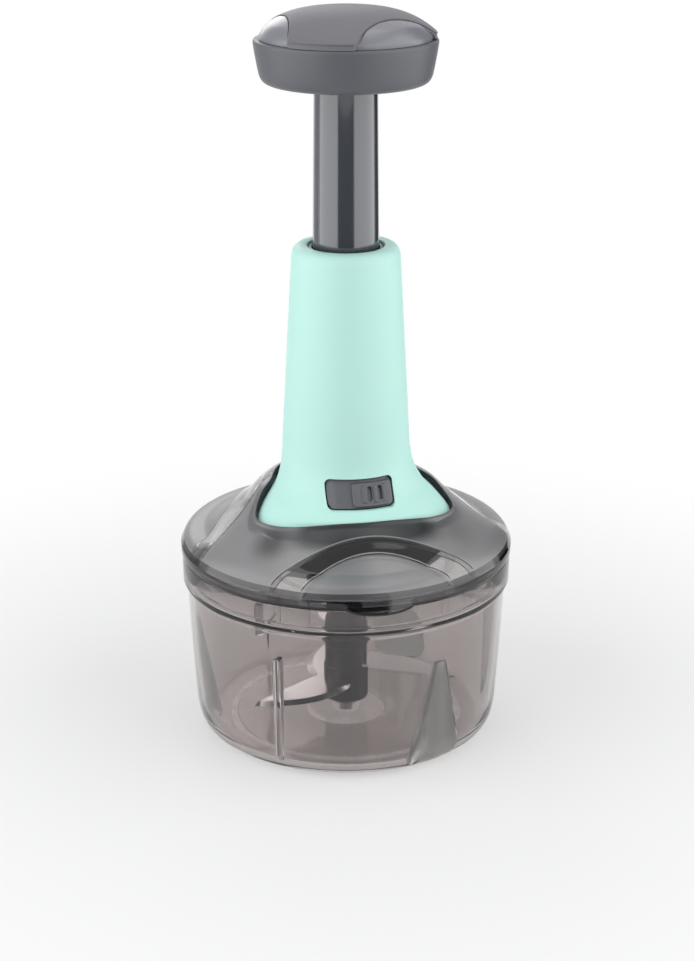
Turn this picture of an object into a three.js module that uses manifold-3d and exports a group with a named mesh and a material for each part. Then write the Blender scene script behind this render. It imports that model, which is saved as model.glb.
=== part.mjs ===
// A hand-pressed food chopper: pushing the knob turns three blades in a clear bowl.
// Millimetres, +Z up. The origin is the middle of the bowl's base, on the table.
// The front, with the lock switch and the lid's thumb tab, faces -Y.
// A turn is an angle in degrees about +Z, counted from the front towards +X.
import * as THREE from 'three';
import { mergeVertices } from 'three/addons/utils/BufferGeometryUtils.js';
import Module from 'manifold-3d';

const wasm = await Module();
wasm.setup();

// Fits that every piece shares
const fit = 0.3; // between pieces that stay put
const run = 0.4; // between pieces that move past each other
const overrun = 1.5; // how far a cutter passes what it cuts
const meshStep = 1e-5; // corners closer than this are one corner

// Bowl
const bowlRadius = 64.6;
const bowlHeight = 72.6;
const bowlWall = 2;
const bowlFloor = 2.4;
const bowlShares = [
  [0.774, 0], [0.86, 0.014], [0.904, 0.05], [0.93, 0.124], [0.953, 0.45], [0.975, 0.829],
  [1, 0.851], [1, 1],
];
const baseRingWidth = 6;
const basePadRadius = 16;
const baseRecess = 0.8;
const fins = [
  { turn: -38, reachShare: 0.124, widthShare: 0.046, heightShare: 0.675, topShare: 0.08 },
  { turn: 24, reachShare: 0.155, widthShare: 0.147, heightShare: 0.592, topShare: 0.3 },
];
const finSets = 3; // each set is repeated evenly round the bowl

// Steel pin that the blades turn on
const pinRadius = 2.5;
const pinHeadroom = 5.7; // from its tip up to the drive socket
const pinTip = 1.2;
const pinSeatDepth = 0.8;
const pinBossRadius = 5.5;
const pinBossHeight = 4.9;

// Blades and their hub
const hubRadius = 8.9;
const hubCollarRadius = 8.4;
const hubCollarRise = 14.3; // from the hub's foot
const hubCollarHeight = 9.8;
const bladeTurns = [76, -44, -164];
const bladeLift = 3.4; // the lowest blade above the hub's foot
const bladeStep = 5.6; // from one blade up to the next
const bladeThickness = 1.2;
const bladeTipGap = 20.6; // inside the bowl's rim
const bladeSweep = 14; // how far the tip lags behind the root
const bladeHalfWidth = 7.8;
const bladeRootHalfWidth = 5;
const bladeRootGap = 1.7; // from the pin's bore to the blade's root
const bladeBackShares = { x: 0.68, y: -0.9 }; // pull of the blunt edge, of reach and sweep
const bladeFrontShares = { x: 0.7, y: 0.72 }; // and of the cutting edge
const keyTipRadius = 4.9; // six-sided drive tip, across its corners
const keySides = 6;
const keyDepth = 14;

// Lid
const lidOverhang = 0.4; // past the bowl's rim
const lidWall = 2.2;
const lidEdge = 3.6; // upright part of the rim
const lidDomeHeight = 23.5;
const lidShares = [
  [1, 0], [0.978, 0.13], [0.954, 0.213], [0.908, 0.31], [0.862, 0.383], [0.738, 0.574],
  [0.615, 0.787], [0.523, 1], [0.43, 1.08],
];
const skirtGap = 0.5; // inside the bowl's wall
const skirtWall = 2.1;
const skirtDrop = 8.7;
const lugTurn = -44;
const lugCount = 3;
const lugWidth = 3.2;
const lugDrop = 7.4;
const lugInset = 1.9;
const scoops = [ // the apex is nearest the middle, along the scoop's own centre line
  { turn: 0, apexShare: 0.686, halfTurn: 37 },
  { turn: 120, apexShare: 0.554, halfTurn: 45 },
  { turn: -120, apexShare: 0.554, halfTurn: 45 },
];
const scoopDepth = 2.5;
const scoopFadeShare = 0.55; // part of the scoop over which its depth runs out at the rim
const tabReach = 1.7;
const tabHalfTurn = 12;
const tabThickness = 2;
const seatRise = 18.1; // flat seat for the handle, above the lid's lower edge
const footGap = 0.4; // groove round the handle's foot
const footCornerGap = 1.8; // and at the foot's corners
const lidHoleRadius = 13.2;

// Handle housing
const footFlatShare = 0.58; // foot's reach at the middle of the front side, of the lid's
const footBackShare = 0.431; // at the middle of each back side
const footLobeShare = 0.646; // and at a corner
const footRisePower = 3; // how late the reach grows from the front side to a corner
const footBackPower = 6; // and from a back side, at the foot
const housingWall = 2.4;
const flareHeight = 27.7; // from the foot up to the column
const columnHeight = 75.3;
const mouthRadius = 14.4;
const mouthWall = 3;
const columnRadius = 24.6; // where the column meets the flare
// Down the column: shares of its radius, and of the way from its foot to the mouth
const columnShares = [[0.724, 1], [0.789, 0.992], [0.837, 0.972], [0.858, 0.93], [1, 0]];
// Down the flare: how far a side and a corner are out towards the foot, and the height left
const flareShares = [
  [0.038, 0.032, 0.82], [0.092, 0.077, 0.69], [0.183, 0.15, 0.567], [0.313, 0.267, 0.458],
  [0.489, 0.386, 0.365], [0.718, 0.58, 0.271], [1, 0.74, 0.177], [1, 0.9, 0.076],
];
const postTurns = [60, 180, -60];
const postInset = 11.8; // from a corner of the foot
const postRadius = 3.8;
const postHeight = 16;

// Screws
const screwRadius = 1.3;
const screwHeadRadius = 3;
const screwHeadHeight = 1.9;
const screwRecess = 0.7;
const screwBite = 7.5; // thread length in what it holds
const innerScrewReach = 20;
const innerBossRadius = 3.2;

// Plunger
const stroke = 55;
const plungerRadius = 12.5;
const plungerTopRadius = 11.8;
const plungerWall = 1.8;
const plungerShoulder = 0.8;
const pressGap = 0.9; // left over the guide's flange at full press
const plungerStraight = 50; // then it tapers a little
const plungerLength = 112;
const plungerEndWall = 4;
const keyHalfWidth = 3;
const keyReach = 19;
const keyHeight = 9.4;

// Turning rod, its nut and the return spring
const rodLead = 27.5; // press for one full turn
const rodHalfWidth = 3.6;
const rodHalfThickness = 1.3;
const rodStepsPerLead = 16;
const rodFaceSplits = 3; // across each wide face, so that the twist stays smooth
const nutSlack = 0.7; // round the rod, in the nut's slot
const rodPastNut = 3;
const rodShankRadius = 3.2;
const rodFlangeRadius = 7.2;
const rodFlangeHeight = 1.5;
const nutRise = 22; // from the plunger's lower end
const nutHeight = 6;
const springRadius = 8.6;
const springWire = 1.4;
const springCurls = 12;
const curlSteps = 8;
const wireSides = 5;
const springSeatHeight = 0.8;

// Mechanism plate and guide
const plateRim = 4; // outside the screws
const plateHeight = 2.5;
const plateBossRadius = 9.8;
const plateBossWall = 1.4;
const plateBossHeight = 3.2;
const bushRadius = 6.5;
const bushFlangeRadius = 8.1;
const bushFlangeHeight = 1;
const bushDrop = 1.8; // below the plate
const guideRadius = 14.2;
const guideWall = 1.8;
const guideFlangeRadius = 21;
const guideFlangeHeight = 2;
const guideBossHeight = 7;
const mouthBushRadius = 12.9;
const mouthBushFlangeRadius = 16;
const mouthBushFlangeHeight = 1.5;
const mouthBushInset = 0.9; // below the housing's mouth

// One-way clutch under the lid
const cupRadius = 15;
const cupWall = 2;
const cupFloor = 2;
const cupDepth = 16.8; // below the lid's seat
const cupFlangeHeight = 2.2;
const ratchetRadius = 12.4;
const ratchetHole = 7.4;
const ratchetTeeth = 8;
const toothHeight = 1.4;
const toothFace = 1.2; // degrees that a tooth's steep face takes
const toothShares = [0, 0.5, 1]; // where a tooth's slow climb is sampled
const drivenHeight = 3.5;
const driverHeight = 5;
const driverNeckRadius = 5.6;
const couplerHeight = 14.3;
const neckRadius = 6.6;
const spigotRadius = 5;
const discSpringInside = 8;
const discSpringOutside = 11.5;
const discSpringRise = 1.3;
const discSpringThickness = 0.5;

// Lock switch in the housing's front
const windowWidth = 25.4;
const windowRise = 8.3; // above the foot
const windowHeight = 9.8;
const windowCorner = 2.2;
const bedDepth = 1.4; // the track lies this far below the housing's surface
const trackLip = 1.6; // the track reaches this far behind the window's edge
const trackLipThickness = 1.4;
const sliderWidth = 14.4;
const sliderTravel = 18; // degrees about the housing's axis
const sliderRise = 0.9;
const sliderMargin = 1.4; // above and below, to the window's edge
const grooveTurns = [5, 11, 17];
const grooveWidth = 1.6;
const grooveDepth = 0.8;
const boltHeight = 2;
const boltTurns = [11.7, 27];
const stemTurns = [17, 23];
const boltBack = 22; // where the bolt narrows to its stem
const slotMargin = 1.2; // degrees of free run past each end of the stem's travel
const stemMargin = 1; // degrees of room round the stem in the slider

// Knob
const knobTurn = -27.8;
const knobRadius = 33.9;
const knobSeatDepth = 9.8; // the plunger's top stands this far inside the knob
const knobHeight = 17.8;
const knobShares = [
  [0.59, 0], [0.8, 0.056], [0.885, 0.135], [0.93, 0.24], [0.953, 0.38], [0.976, 0.6], [0.991, 0.84],
  [1, 1],
];
const knobWall = 3.4;
const knobFloor = 2.4;
const knobFloorShare = 0.3; // how much of the outside's rise the inside's floor keeps
const socketWall = 2;
const socketFloor = 2.4;
const domeRadius = 33.3;
const domeEdge = 2.2; // upright edge of the soft pad
const domeHeight = 9; // from that edge to the crown
const domePower = 3.2;
const domeSteps = 6;
const padThickness = 1.4;
const capThickness = 2; // glossy cap under the pad
const windowApex = 22.3; // nearest the axis, in the middle of a window in the pad
const windowArcRadius = 55;
const windowTurns = [60, 180, 300];

// Facets
const bigSides = 36;
const midSides = 24;
const smallSides = 12;
const curveSteps = 8;

// Places worked out from the sizes above, from the bowl up
const quarterTurn = 90;
const baseRingInside = bowlRadius * bowlShares[0][0] - baseRingWidth;
const bladeReach = bowlRadius - bladeTipGap;
const hubBottom = bowlFloor + pinBossHeight + fit;
const hubCollarBottom = hubBottom + hubCollarRise;
const hubCollarTop = hubCollarBottom + hubCollarHeight;
const boreRadius = pinRadius + run;
const lidRadius = bowlRadius + lidOverhang;
const skirtRadius = bowlRadius - bowlWall - skirtGap;
const lidBottom = bowlHeight + fit;
const domeBase = lidBottom + lidEdge;
const seatHeight = lidBottom + seatRise;
const lidUnder = seatHeight - lidWall;
const cupBottom = lidUnder - cupDepth;
const hubTop = cupBottom - couplerHeight;
const pinTop = hubTop - keyDepth - pinHeadroom;
const cupFlangeRadius = innerScrewReach + plateRim;
const cupFlangeTop = lidUnder - fit;
const cupFlangeBottom = cupFlangeTop - cupFlangeHeight;
const drivenBottom = cupBottom + cupFloor + 2 * fit + discSpringRise + discSpringThickness;
const teethBottom = drivenBottom + drivenHeight;
const driverTop = teethBottom + fit + driverHeight;
const footFlat = lidRadius * footFlatShare;
const footBack = lidRadius * footBackShare;
const footLobe = lidRadius * footLobeShare;
const footBottom = seatHeight + fit;
const columnFoot = footBottom + flareHeight;
const mouthHeight = columnFoot + columnHeight;
const postReach = footLobe - postInset;
const bushBottom = footBottom - bushDrop;
const plateRadius = innerScrewReach + plateRim;
const plateTop = footBottom + plateHeight;
const plateBossTop = plateTop + plateBossHeight;
const seatTop = plateBossTop + fit + springSeatHeight;
const guideBottom = plateTop + fit;
const mouthBushBottom = mouthHeight - mouthWall - fit - mouthBushFlangeHeight;
const guideTop = mouthBushBottom - fit;
const windowBottom = footBottom + windowRise;
const windowTop = windowBottom + windowHeight;
const plungerLow = guideBottom + pressGap + stroke;
const plungerDraftStart = plungerLow + plungerStraight;
const plungerTop = plungerLow + plungerLength;
const boltBottom = plungerLow - stroke + keyHeight + run;
const boltTop = boltBottom + boltHeight;
const nutBottom = plungerLow + nutRise;
const nutTop = nutBottom + nutHeight;
const rodFlangeBottom = guideBottom + bushFlangeHeight + fit;
const rodFlangeTop = rodFlangeBottom + rodFlangeHeight;
const rodTop = nutTop + rodPastNut;
const knobBottom = plungerTop - knobSeatDepth;
const knobRim = knobBottom + knobHeight;

// A point at a reach from the axis, a turn from the front and a height.
function at(reach, turn, height) {
  const a = THREE.MathUtils.degToRad(turn);
  return new THREE.Vector3(reach * Math.sin(a), -reach * Math.cos(a), height);
}

// A closed shape as a solid that can be cut and joined, with its faces turned out.
function solid(geometry) {
  const bare = geometry.clone();
  bare.deleteAttribute('normal');
  bare.deleteAttribute('uv');
  const merged = mergeVertices(bare, meshStep);
  const spots = merged.attributes.position;
  const faces = new Uint32Array(merged.index.array);
  const [a, b, c] = [new THREE.Vector3(), new THREE.Vector3(), new THREE.Vector3()];
  let volume = 0;
  for (let i = 0; i < faces.length; i += 3) {
    a.fromBufferAttribute(spots, faces[i]);
    b.fromBufferAttribute(spots, faces[i + 1]);
    c.fromBufferAttribute(spots, faces[i + 2]);
    volume += a.dot(b.cross(c));
  }
  if (volume < 0) {
    for (let i = 0; i < faces.length; i += 3) {
      [faces[i], faces[i + 1]] = [faces[i + 1], faces[i]];
    }
  }
  const mesh = new wasm.Mesh({ numProp: 3, vertProperties: spots.array, triVerts: faces });
  return new wasm.Manifold(mesh);
}

// A round solid about Z from its outline, given as [radius, height] pairs.
function turned(outline, sides = midSides) {
  const points = outline.map(([r, z]) => new THREE.Vector2(r, z));
  const geometry = new THREE.LatheGeometry(points, sides);
  geometry.rotateX(Math.PI / 2);
  return solid(geometry);
}

function disc(radius, bottom, top, sides = midSides) {
  return turned([[0, bottom], [radius, bottom], [radius, top], [0, top]], sides);
}

function tube(outside, inside, bottom, top, sides = midSides) {
  const outline = [[inside, bottom], [outside, bottom], [outside, top], [inside, top]];
  return turned([...outline, outline[0]], sides);
}

// A flat outline in X and Y, carried up from one height to another.
function prism(shape, bottom, top, curveSegments = smallSides) {
  const geometry = new THREE.ExtrudeGeometry(shape, {
    depth: top - bottom, bevelEnabled: false, curveSegments,
  });
  geometry.translate(0, 0, bottom);
  return solid(geometry);
}

// A wedge of the space between two turns, out to a reach.
function wedge(turns, reach, bottom, top) {
  const shape = new THREE.Shape();
  const start = at(reach, turns[0], 0);
  shape.moveTo(0, 0);
  shape.lineTo(start.x, start.y);
  const ends = turns.map((turn) => THREE.MathUtils.degToRad(turn - quarterTurn));
  shape.absarc(0, 0, reach, ends[0], ends[1], false);
  shape.closePath();
  return prism(shape, bottom, top, curveSteps);
}

// Rings of equal count, skinned one to the next and closed at both ends.
function skin(rings) {
  const count = rings[0].length;
  const points = rings.flat();
  const ends = [rings[0], rings[rings.length - 1]];
  const faces = [];
  for (let k = 0; k + 1 < rings.length; k += 1) {
    for (let i = 0; i < count; i += 1) {
      const next = (i + 1) % count;
      const [a, b, c, d] = [0, count].flatMap((up) => [i, next].map((j) => k * count + up + j));
      faces.push(a, b, c, b, d, c);
    }
  }
  ends.forEach((ring, side) => {
    const middle = new THREE.Vector3();
    ring.forEach((point) => middle.add(point));
    points.push(middle.divideScalar(count));
    const first = side === 0 ? 0 : (rings.length - 1) * count;
    for (let i = 0; i < count; i += 1) {
      const pair = [first + i, first + (i + 1) % count];
      faces.push(points.length - 1, ...(side === 0 ? pair.reverse() : pair));
    }
  });
  const geometry = new THREE.BufferGeometry().setFromPoints(points);
  geometry.setIndex(faces);
  return solid(geometry);
}

// A whole number of copies, spaced evenly about the axis.
function around(count, make) {
  return Array.from({ length: count }, (_, k) => make((k * 360) / count));
}

function turnedAbout(piece, turn) {
  return piece.rotate([0, 0, turn]);
}

function joined(pieces) {
  return pieces.reduce((whole, piece) => whole.add(piece));
}

// An outline moved inwards, square to its own run.
function insetOutline(points, distance) {
  return points.map(([r, z], i) => {
    const [ra, za] = points[Math.max(i - 1, 0)];
    const [rb, zb] = points[Math.min(i + 1, points.length - 1)];
    const length = Math.hypot(rb - ra, zb - za);
    return [r - (distance * Math.abs(zb - za)) / length, z - (distance * Math.abs(rb - ra)) / length];
  });
}

const group = new THREE.Group();

function addPart(name, piece, colour, roughness, metalness = 0) {
  const cut = piece.getMesh();
  const geometry = new THREE.BufferGeometry();
  geometry.setAttribute('position', new THREE.BufferAttribute(new Float32Array(cut.vertProperties), 3));
  geometry.setIndex(new THREE.BufferAttribute(new Uint32Array(cut.triVerts), 1));
  const material = new THREE.MeshStandardMaterial({ color: colour, roughness, metalness });
  const mesh = new THREE.Mesh(geometry, material);
  mesh.name = name;
  group.add(mesh);
}

const mint = 0xbfefe4;
const darkGrey = 0x6b6d76;
const smoke = 0x55545a;
const clearTint = 0x9a8f8c;
const steel = 0xc9ccd0;
const nylon = 0xdedcd4;

// Bowl: the wall follows one outline, and the inside is the same outline moved in.
function makeBowl() {
  const outside = bowlShares.map(([r, z]) => [r * bowlRadius, z * bowlHeight]);
  const rise = bowlHeight - bowlFloor;
  const inside = bowlShares.map(([r, z]) => [r * bowlRadius - bowlWall, bowlFloor + z * rise]);
  const body = turned([[0, 0], ...outside, [0, bowlHeight]], bigSides);
  const mouth = [bowlRadius - bowlWall, bowlHeight + overrun];
  const hollow = turned([[0, bowlFloor], ...inside, mouth, [0, mouth[1]]], bigSides);
  const recess = tube(baseRingInside, basePadRadius, -overrun, baseRecess, bigSides);
  const boss = disc(pinBossRadius, bowlFloor - fit, bowlFloor + pinBossHeight, smallSides);
  const seat = disc(pinRadius + fit, bowlFloor - pinSeatDepth, hubBottom + overrun, smallSides);
  const ribs = fins.flatMap((fin) => around(finSets, (turn) => makeFin(fin, turn)));
  return joined([body.subtract(hollow), boss, ...ribs.map((rib) => rib.intersect(body))])
    .subtract(recess).subtract(seat);
}

// A fin on the bowl's wall that turns food back under the blades.
function makeFin(fin, extraTurn) {
  const low = bowlFloor - fit;
  const height = bowlHeight * fin.heightShare;
  const geometry = new THREE.CylinderGeometry(fin.topShare, 1, height, smallSides);
  geometry.rotateX(Math.PI / 2);
  geometry.scale(bowlRadius * fin.widthShare, bowlRadius * fin.reachShare, 1);
  geometry.translate(0, -(bowlRadius - 2 * bowlWall), low + height / 2);
  return turnedAbout(solid(geometry), fin.turn + extraTurn);
}

function makePivotPin() {
  const low = bowlFloor - pinSeatDepth + fit;
  const shoulder = pinTop - pinTip;
  return turned([[0, low], [pinRadius, low], [pinRadius, shoulder], [pinRadius - pinTip, pinTop],
    [0, pinTop]], smallSides);
}

// A curved blade, seen from above, with its root on the hub's own X side.
function bladeShape(grow) {
  const root = boreRadius + bladeRootGap - grow;
  const halfRoot = bladeRootHalfWidth + grow;
  const half = bladeHalfWidth + grow;
  const back = { x: bladeReach * bladeBackShares.x, y: bladeSweep * bladeBackShares.y };
  const front = { x: bladeReach * bladeFrontShares.x, y: bladeSweep * bladeFrontShares.y };
  const shape = new THREE.Shape();
  shape.moveTo(root, -halfRoot);
  shape.lineTo(hubRadius - fit - grow, -halfRoot);
  shape.lineTo(hubRadius + fit, -half);
  shape.quadraticCurveTo(back.x, back.y, bladeReach, -bladeSweep);
  shape.quadraticCurveTo(front.x, front.y, hubRadius + fit, half);
  shape.lineTo(hubRadius - fit - grow, halfRoot);
  shape.lineTo(root, halfRoot);
  shape.closePath();
  return shape;
}

function bladeBottom(index) {
  return hubBottom + bladeLift + (bladeTurns.length - 1 - index) * bladeStep;
}

function makeBlade(index) {
  const low = bladeBottom(index);
  const blade = prism(bladeShape(0), low, low + bladeThickness, curveSteps);
  return turnedAbout(blade, bladeTurns[index] - quarterTurn);
}

// Hub: a stem with a neck above the blades, bored for the pin and keyed for the drive.
function makeHub() {
  const body = turned([[0, hubBottom], [hubRadius, hubBottom], [hubRadius, hubCollarBottom],
    [hubCollarRadius, hubCollarBottom], [hubCollarRadius, hubCollarTop], [hubRadius, hubCollarTop],
    [hubRadius, hubTop], [0, hubTop]]);
  const bore = disc(boreRadius, hubBottom - overrun, pinTop + run, smallSides);
  const socket = disc(keyTipRadius + run, hubTop - keyDepth - fit, hubTop + overrun, keySides);
  const slots = bladeTurns.map((turn, index) => {
    const low = bladeBottom(index);
    const slot = prism(bladeShape(fit), low - fit, low + bladeThickness + fit, curveSteps);
    return turnedAbout(slot, turn - quarterTurn);
  });
  return [bore, socket, ...slots].reduce((piece, cutter) => piece.subtract(cutter), body);
}

// The handle's front side reaches further out than the two back ones.
function onFrontSide(turn) {
  const [across, corner] = [turn, postTurns[0]].map(THREE.MathUtils.degToRad);
  return Math.cos(across) > Math.cos(corner);
}

function sideReach(turn) {
  return onFrontSide(turn) ? footFlat : footBack;
}

// How far a turn is on the way from the middle of a side to a corner.
function cornerShare(turn, risePower) {
  const swing = Math.sin(THREE.MathUtils.degToRad((turn * postTurns.length) / 2));
  return Math.abs(swing) ** risePower;
}

// Foot outline of the handle: three round corners joined by long shallow sides.
function footReach(turn, gap = 0, cornerGap = 0) {
  const side = sideReach(turn) + gap;
  const lobe = footLobe + cornerGap;
  return side + (lobe - side) * cornerShare(turn, onFrontSide(turn) ? footRisePower : footBackPower);
}

function ringOf(reachAtTurn, height, sides = bigSides) {
  return Array.from({ length: sides }, (_, i) => {
    const turn = (i * 360) / sides;
    return at(reachAtTurn(turn), turn, height);
  });
}

function columnPoint([radiusShare, rise]) {
  return { r: columnRadius * radiusShare, z: columnFoot + rise * (mouthHeight - columnFoot) };
}

function flareHeightAt([, , rise]) {
  return footBottom + rise * (columnFoot - footBottom);
}

function flareReach([sideShare, lobeShare], turn) {
  const side = columnRadius + sideShare * (sideReach(turn) - columnRadius);
  const lobe = columnRadius + lobeShare * (footLobe - columnRadius);
  return Math.min(side + (lobe - side) * cornerShare(turn, footRisePower), footReach(turn));
}

// The handle's outer form, or the same form moved inwards by a wall.
function housingForm(inset, top) {
  const flare = flareShares.map((shares) => (
    ringOf((turn) => flareReach(shares, turn) - inset, flareHeightAt(shares))));
  const foot = ringOf((turn) => footReach(turn) - inset, footBottom - (inset > 0 ? overrun : 0));
  const steps = columnShares.map(columnPoint);
  const kept = steps.filter(({ z }) => z < top);
  const column = kept.map(({ r, z }) => ringOf(() => r - inset, z));
  const capRadius = inset > 0 ? kept[0].r - inset : steps[0].r;
  return skin([foot, ...flare.reverse(), ...column.reverse(), ringOf(() => capRadius, top)]);
}

// The rounded window in the housing's front, as a bar along Y, grown or shrunk.
function windowBar(grow) {
  const shape = new THREE.Shape();
  const half = windowWidth / 2 + grow;
  const low = windowBottom - grow;
  const high = windowTop + grow;
  const corner = Math.max(windowCorner + grow, fit);
  shape.moveTo(-half + corner, low);
  shape.lineTo(half - corner, low);
  shape.absarc(half - corner, low + corner, corner, -Math.PI / 2, 0, false);
  shape.absarc(half - corner, high - corner, corner, 0, Math.PI / 2, false);
  shape.absarc(-half + corner, high - corner, corner, Math.PI / 2, Math.PI, false);
  shape.absarc(-half + corner, low + corner, corner, Math.PI, 1.5 * Math.PI, false);
  const geometry = new THREE.ExtrudeGeometry(shape, {
    depth: footLobe, bevelEnabled: false, curveSegments: curveSteps / 2,
  });
  geometry.rotateX(Math.PI / 2);
  return solid(geometry);
}

// The housing's front line turned about the axis, moved out or in.
function frontForm(offset) {
  const line = flareShares.map((shares) => [flareReach(shares, 0) + offset, flareHeightAt(shares)]);
  line.reverse();
  const last = columnPoint(columnShares[columnShares.length - 1]);
  return turned([[0, line[0][1]], ...line, [last.r + offset, last.z], [0, last.z]], bigSides);
}

function makeHousing() {
  const shell = housingForm(0, mouthHeight);
  const hollow = housingForm(housingWall, mouthHeight - mouthWall);
  const mouth = disc(mouthRadius, mouthHeight - 2 * mouthWall, mouthHeight + overrun);
  const posts = postTurns.map((turn) => {
    const post = disc(postRadius, footBottom, footBottom + postHeight, smallSides);
    const hole = disc(screwRadius + fit, footBottom - overrun, footBottom + screwBite + fit, smallSides);
    const spot = at(postReach, turn, 0);
    return post.subtract(hole).translate([spot.x, spot.y, 0]).intersect(shell);
  });
  return joined([shell.subtract(hollow).subtract(mouth).subtract(windowBar(0)), ...posts]);
}

// Lid: a dome with a scoop over each side of the handle, and a flat seat for it.
function lidForm(inset) {
  const dome = lidShares.map(([r, z]) => [r * lidRadius, domeBase + z * lidDomeHeight]);
  const line = insetOutline([[lidRadius, lidBottom], ...dome], inset);
  const low = inset > 0 ? lidBottom - skirtDrop - overrun : lidBottom;
  const high = line[line.length - 1][1];
  const body = turned([[0, low], [line[0][0], low], ...line.slice(1), [0, high]], bigSides);
  const pocket = skin([seatHeight - inset, high + overrun].map((z) => (
    ringOf((turn) => footReach(turn, footGap, footCornerGap) + inset, z))));
  const cutters = scoops.map((scoop) => turnedAbout(scoopCutter(scoop, dome, inset), scoop.turn));
  return [pocket, ...cutters].reduce((piece, cutter) => piece.subtract(cutter), body);
}

// What a scoop removes: the lens between an arc and the rim, down to a lower dome.
function scoopCutter(scoop, dome, inset) {
  const end = at(lidRadius, scoop.halfTurn, 0);
  const nearest = lidRadius * scoop.apexShare;
  const apex = nearest - inset;
  const reach = -end.y - apex;
  const arcRadius = (end.x ** 2 + reach ** 2) / (2 * reach);
  const half = Math.asin(end.x / arcRadius);
  const shape = new THREE.Shape();
  shape.absarc(0, -(apex + arcRadius), arcRadius, Math.PI / 2 + half, Math.PI / 2 - half, true);
  shape.lineTo(end.x, -(lidRadius + overrun));
  shape.lineTo(-end.x, -(lidRadius + overrun));
  shape.closePath();
  const high = dome[dome.length - 1][1] + overrun;
  const block = prism(shape, lidBottom, high, smallSides);
  const fadeRun = (lidRadius - nearest) * scoopFadeShare;
  const lower = dome.map(([r, z]) => [r, z - scoopDepth * Math.min(1, (lidRadius - r) / fadeRun)]);
  const floor = insetOutline(lower, inset);
  const edge = [lidRadius + 2 * overrun, floor[0][1]];
  const under = turned([[0, 0], [edge[0], 0], edge, ...floor, [0, floor[floor.length - 1][1]]], bigSides);
  return block.subtract(under);
}

function makeLid() {
  const shell = lidForm(0).subtract(lidForm(lidWall));
  const skirt = tube(skirtRadius, skirtRadius - skirtWall, lidBottom - skirtDrop, domeBase, bigSides);
  const lugs = around(lugCount, (turn) => makeLug(lugTurn + turn));
  const tab = makeThumbTab();
  const hole = disc(lidHoleRadius, lidUnder - overrun, seatHeight + overrun);
  const screwHoles = postTurns.flatMap((turn) => [postReach, innerScrewReach].map((reach) => {
    const spot = at(reach, turn, 0);
    const cutter = disc(screwRadius + fit, lidUnder - overrun, seatHeight + overrun, smallSides);
    return cutter.translate([spot.x, spot.y, 0]);
  }));
  const whole = joined([shell, skirt, ...lugs, tab]);
  return [hole, ...screwHoles].reduce((piece, cutter) => piece.subtract(cutter), whole);
}

// A lug under the skirt keeps the lid from turning in the bowl.
function makeLug(turn) {
  const outer = skirtRadius - lugInset;
  const bar = new THREE.BoxGeometry(lugWidth, skirtWall + fit, lugDrop + skirtDrop);
  bar.translate(0, -(outer - (skirtWall + fit) / 2), lidBottom - (lugDrop + skirtDrop) / 2);
  return turnedAbout(solid(bar), turn);
}

// The thumb tab is the part of a smaller circle that stands past the rim.
function makeThumbTab() {
  const end = at(lidRadius, tabHalfTurn, 0);
  const rise = lidRadius + tabReach + end.y;
  const radius = (end.x ** 2 + rise ** 2) / (2 * rise);
  const blank = disc(radius, lidBottom, lidBottom + tabThickness, bigSides);
  const inner = disc(skirtRadius, lidBottom - overrun, lidBottom + tabThickness + overrun, bigSides);
  return blank.translate([0, -(lidRadius + tabReach - radius), 0]).subtract(inner);
}

// Plate that carries the mechanism, on the lid's seat.
function makePlate() {
  const boss = tube(plateBossRadius, plateBossRadius - plateBossWall, plateTop - fit, plateBossTop);
  const plate = disc(plateRadius, footBottom, plateTop);
  const hole = disc(bushRadius + fit, footBottom - overrun, plateTop + overrun);
  return withHoles(joined([plate, boss]).subtract(hole), innerScrewReach, footBottom, plateTop);
}

function withHoles(piece, reach, bottom, top) {
  return postTurns.reduce((rest, turn) => {
    const spot = at(reach, turn, 0);
    const hole = disc(screwRadius + fit, bottom - overrun, top + overrun, smallSides);
    return rest.subtract(hole.translate([spot.x, spot.y, 0]));
  }, piece);
}

function makeBush() {
  const flangeTop = guideBottom + bushFlangeHeight;
  const inside = rodShankRadius + run;
  return turned([[inside, bushBottom], [bushRadius, bushBottom], [bushRadius, guideBottom],
    [bushFlangeRadius, guideBottom], [bushFlangeRadius, flangeTop], [inside, flangeTop],
    [inside, bushBottom]], smallSides);
}

// Guide tube: a slot down its front takes the plunger's key, so the plunger can't turn.
function makeGuide() {
  const outside = guideRadius + guideWall;
  const body = tube(outside, guideRadius, guideBottom, guideTop);
  const flange = tube(guideFlangeRadius, guideRadius, guideBottom, guideBottom + guideFlangeHeight);
  const bosses = postTurns.map((turn) => {
    const spot = at(innerScrewReach, turn, 0);
    const boss = disc(innerBossRadius, guideBottom, guideBottom + guideBossHeight, smallSides);
    return boss.translate([spot.x, spot.y, 0]);
  });
  const keyTop = plungerLow + keyHeight + run;
  const slot = new THREE.BoxGeometry(2 * (keyHalfWidth + run), keyReach + run, keyTop);
  slot.translate(0, -(keyReach + run) / 2, keyTop / 2);
  const bore = disc(guideRadius, guideBottom - overrun, guideTop + overrun);
  const whole = joined([body, flange, ...bosses]).subtract(bore).subtract(solid(slot));
  return withHoles(whole, innerScrewReach, guideBottom, guideBottom + screwBite - plateHeight);
}

function makeMouthBush() {
  const low = mouthBushBottom;
  const shoulder = low + mouthBushFlangeHeight;
  const high = mouthHeight - mouthBushInset;
  const outside = mouthRadius - fit;
  return turned([[mouthBushRadius, low], [mouthBushFlangeRadius, low], [mouthBushFlangeRadius, shoulder],
    [outside, shoulder], [outside, high], [mouthBushRadius, high], [mouthBushRadius, low]]);
}

function makeSpringSeat() {
  return tube(plateBossRadius + fit, rodFlangeRadius + fit, plateBossTop + fit, seatTop, smallSides);
}

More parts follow.
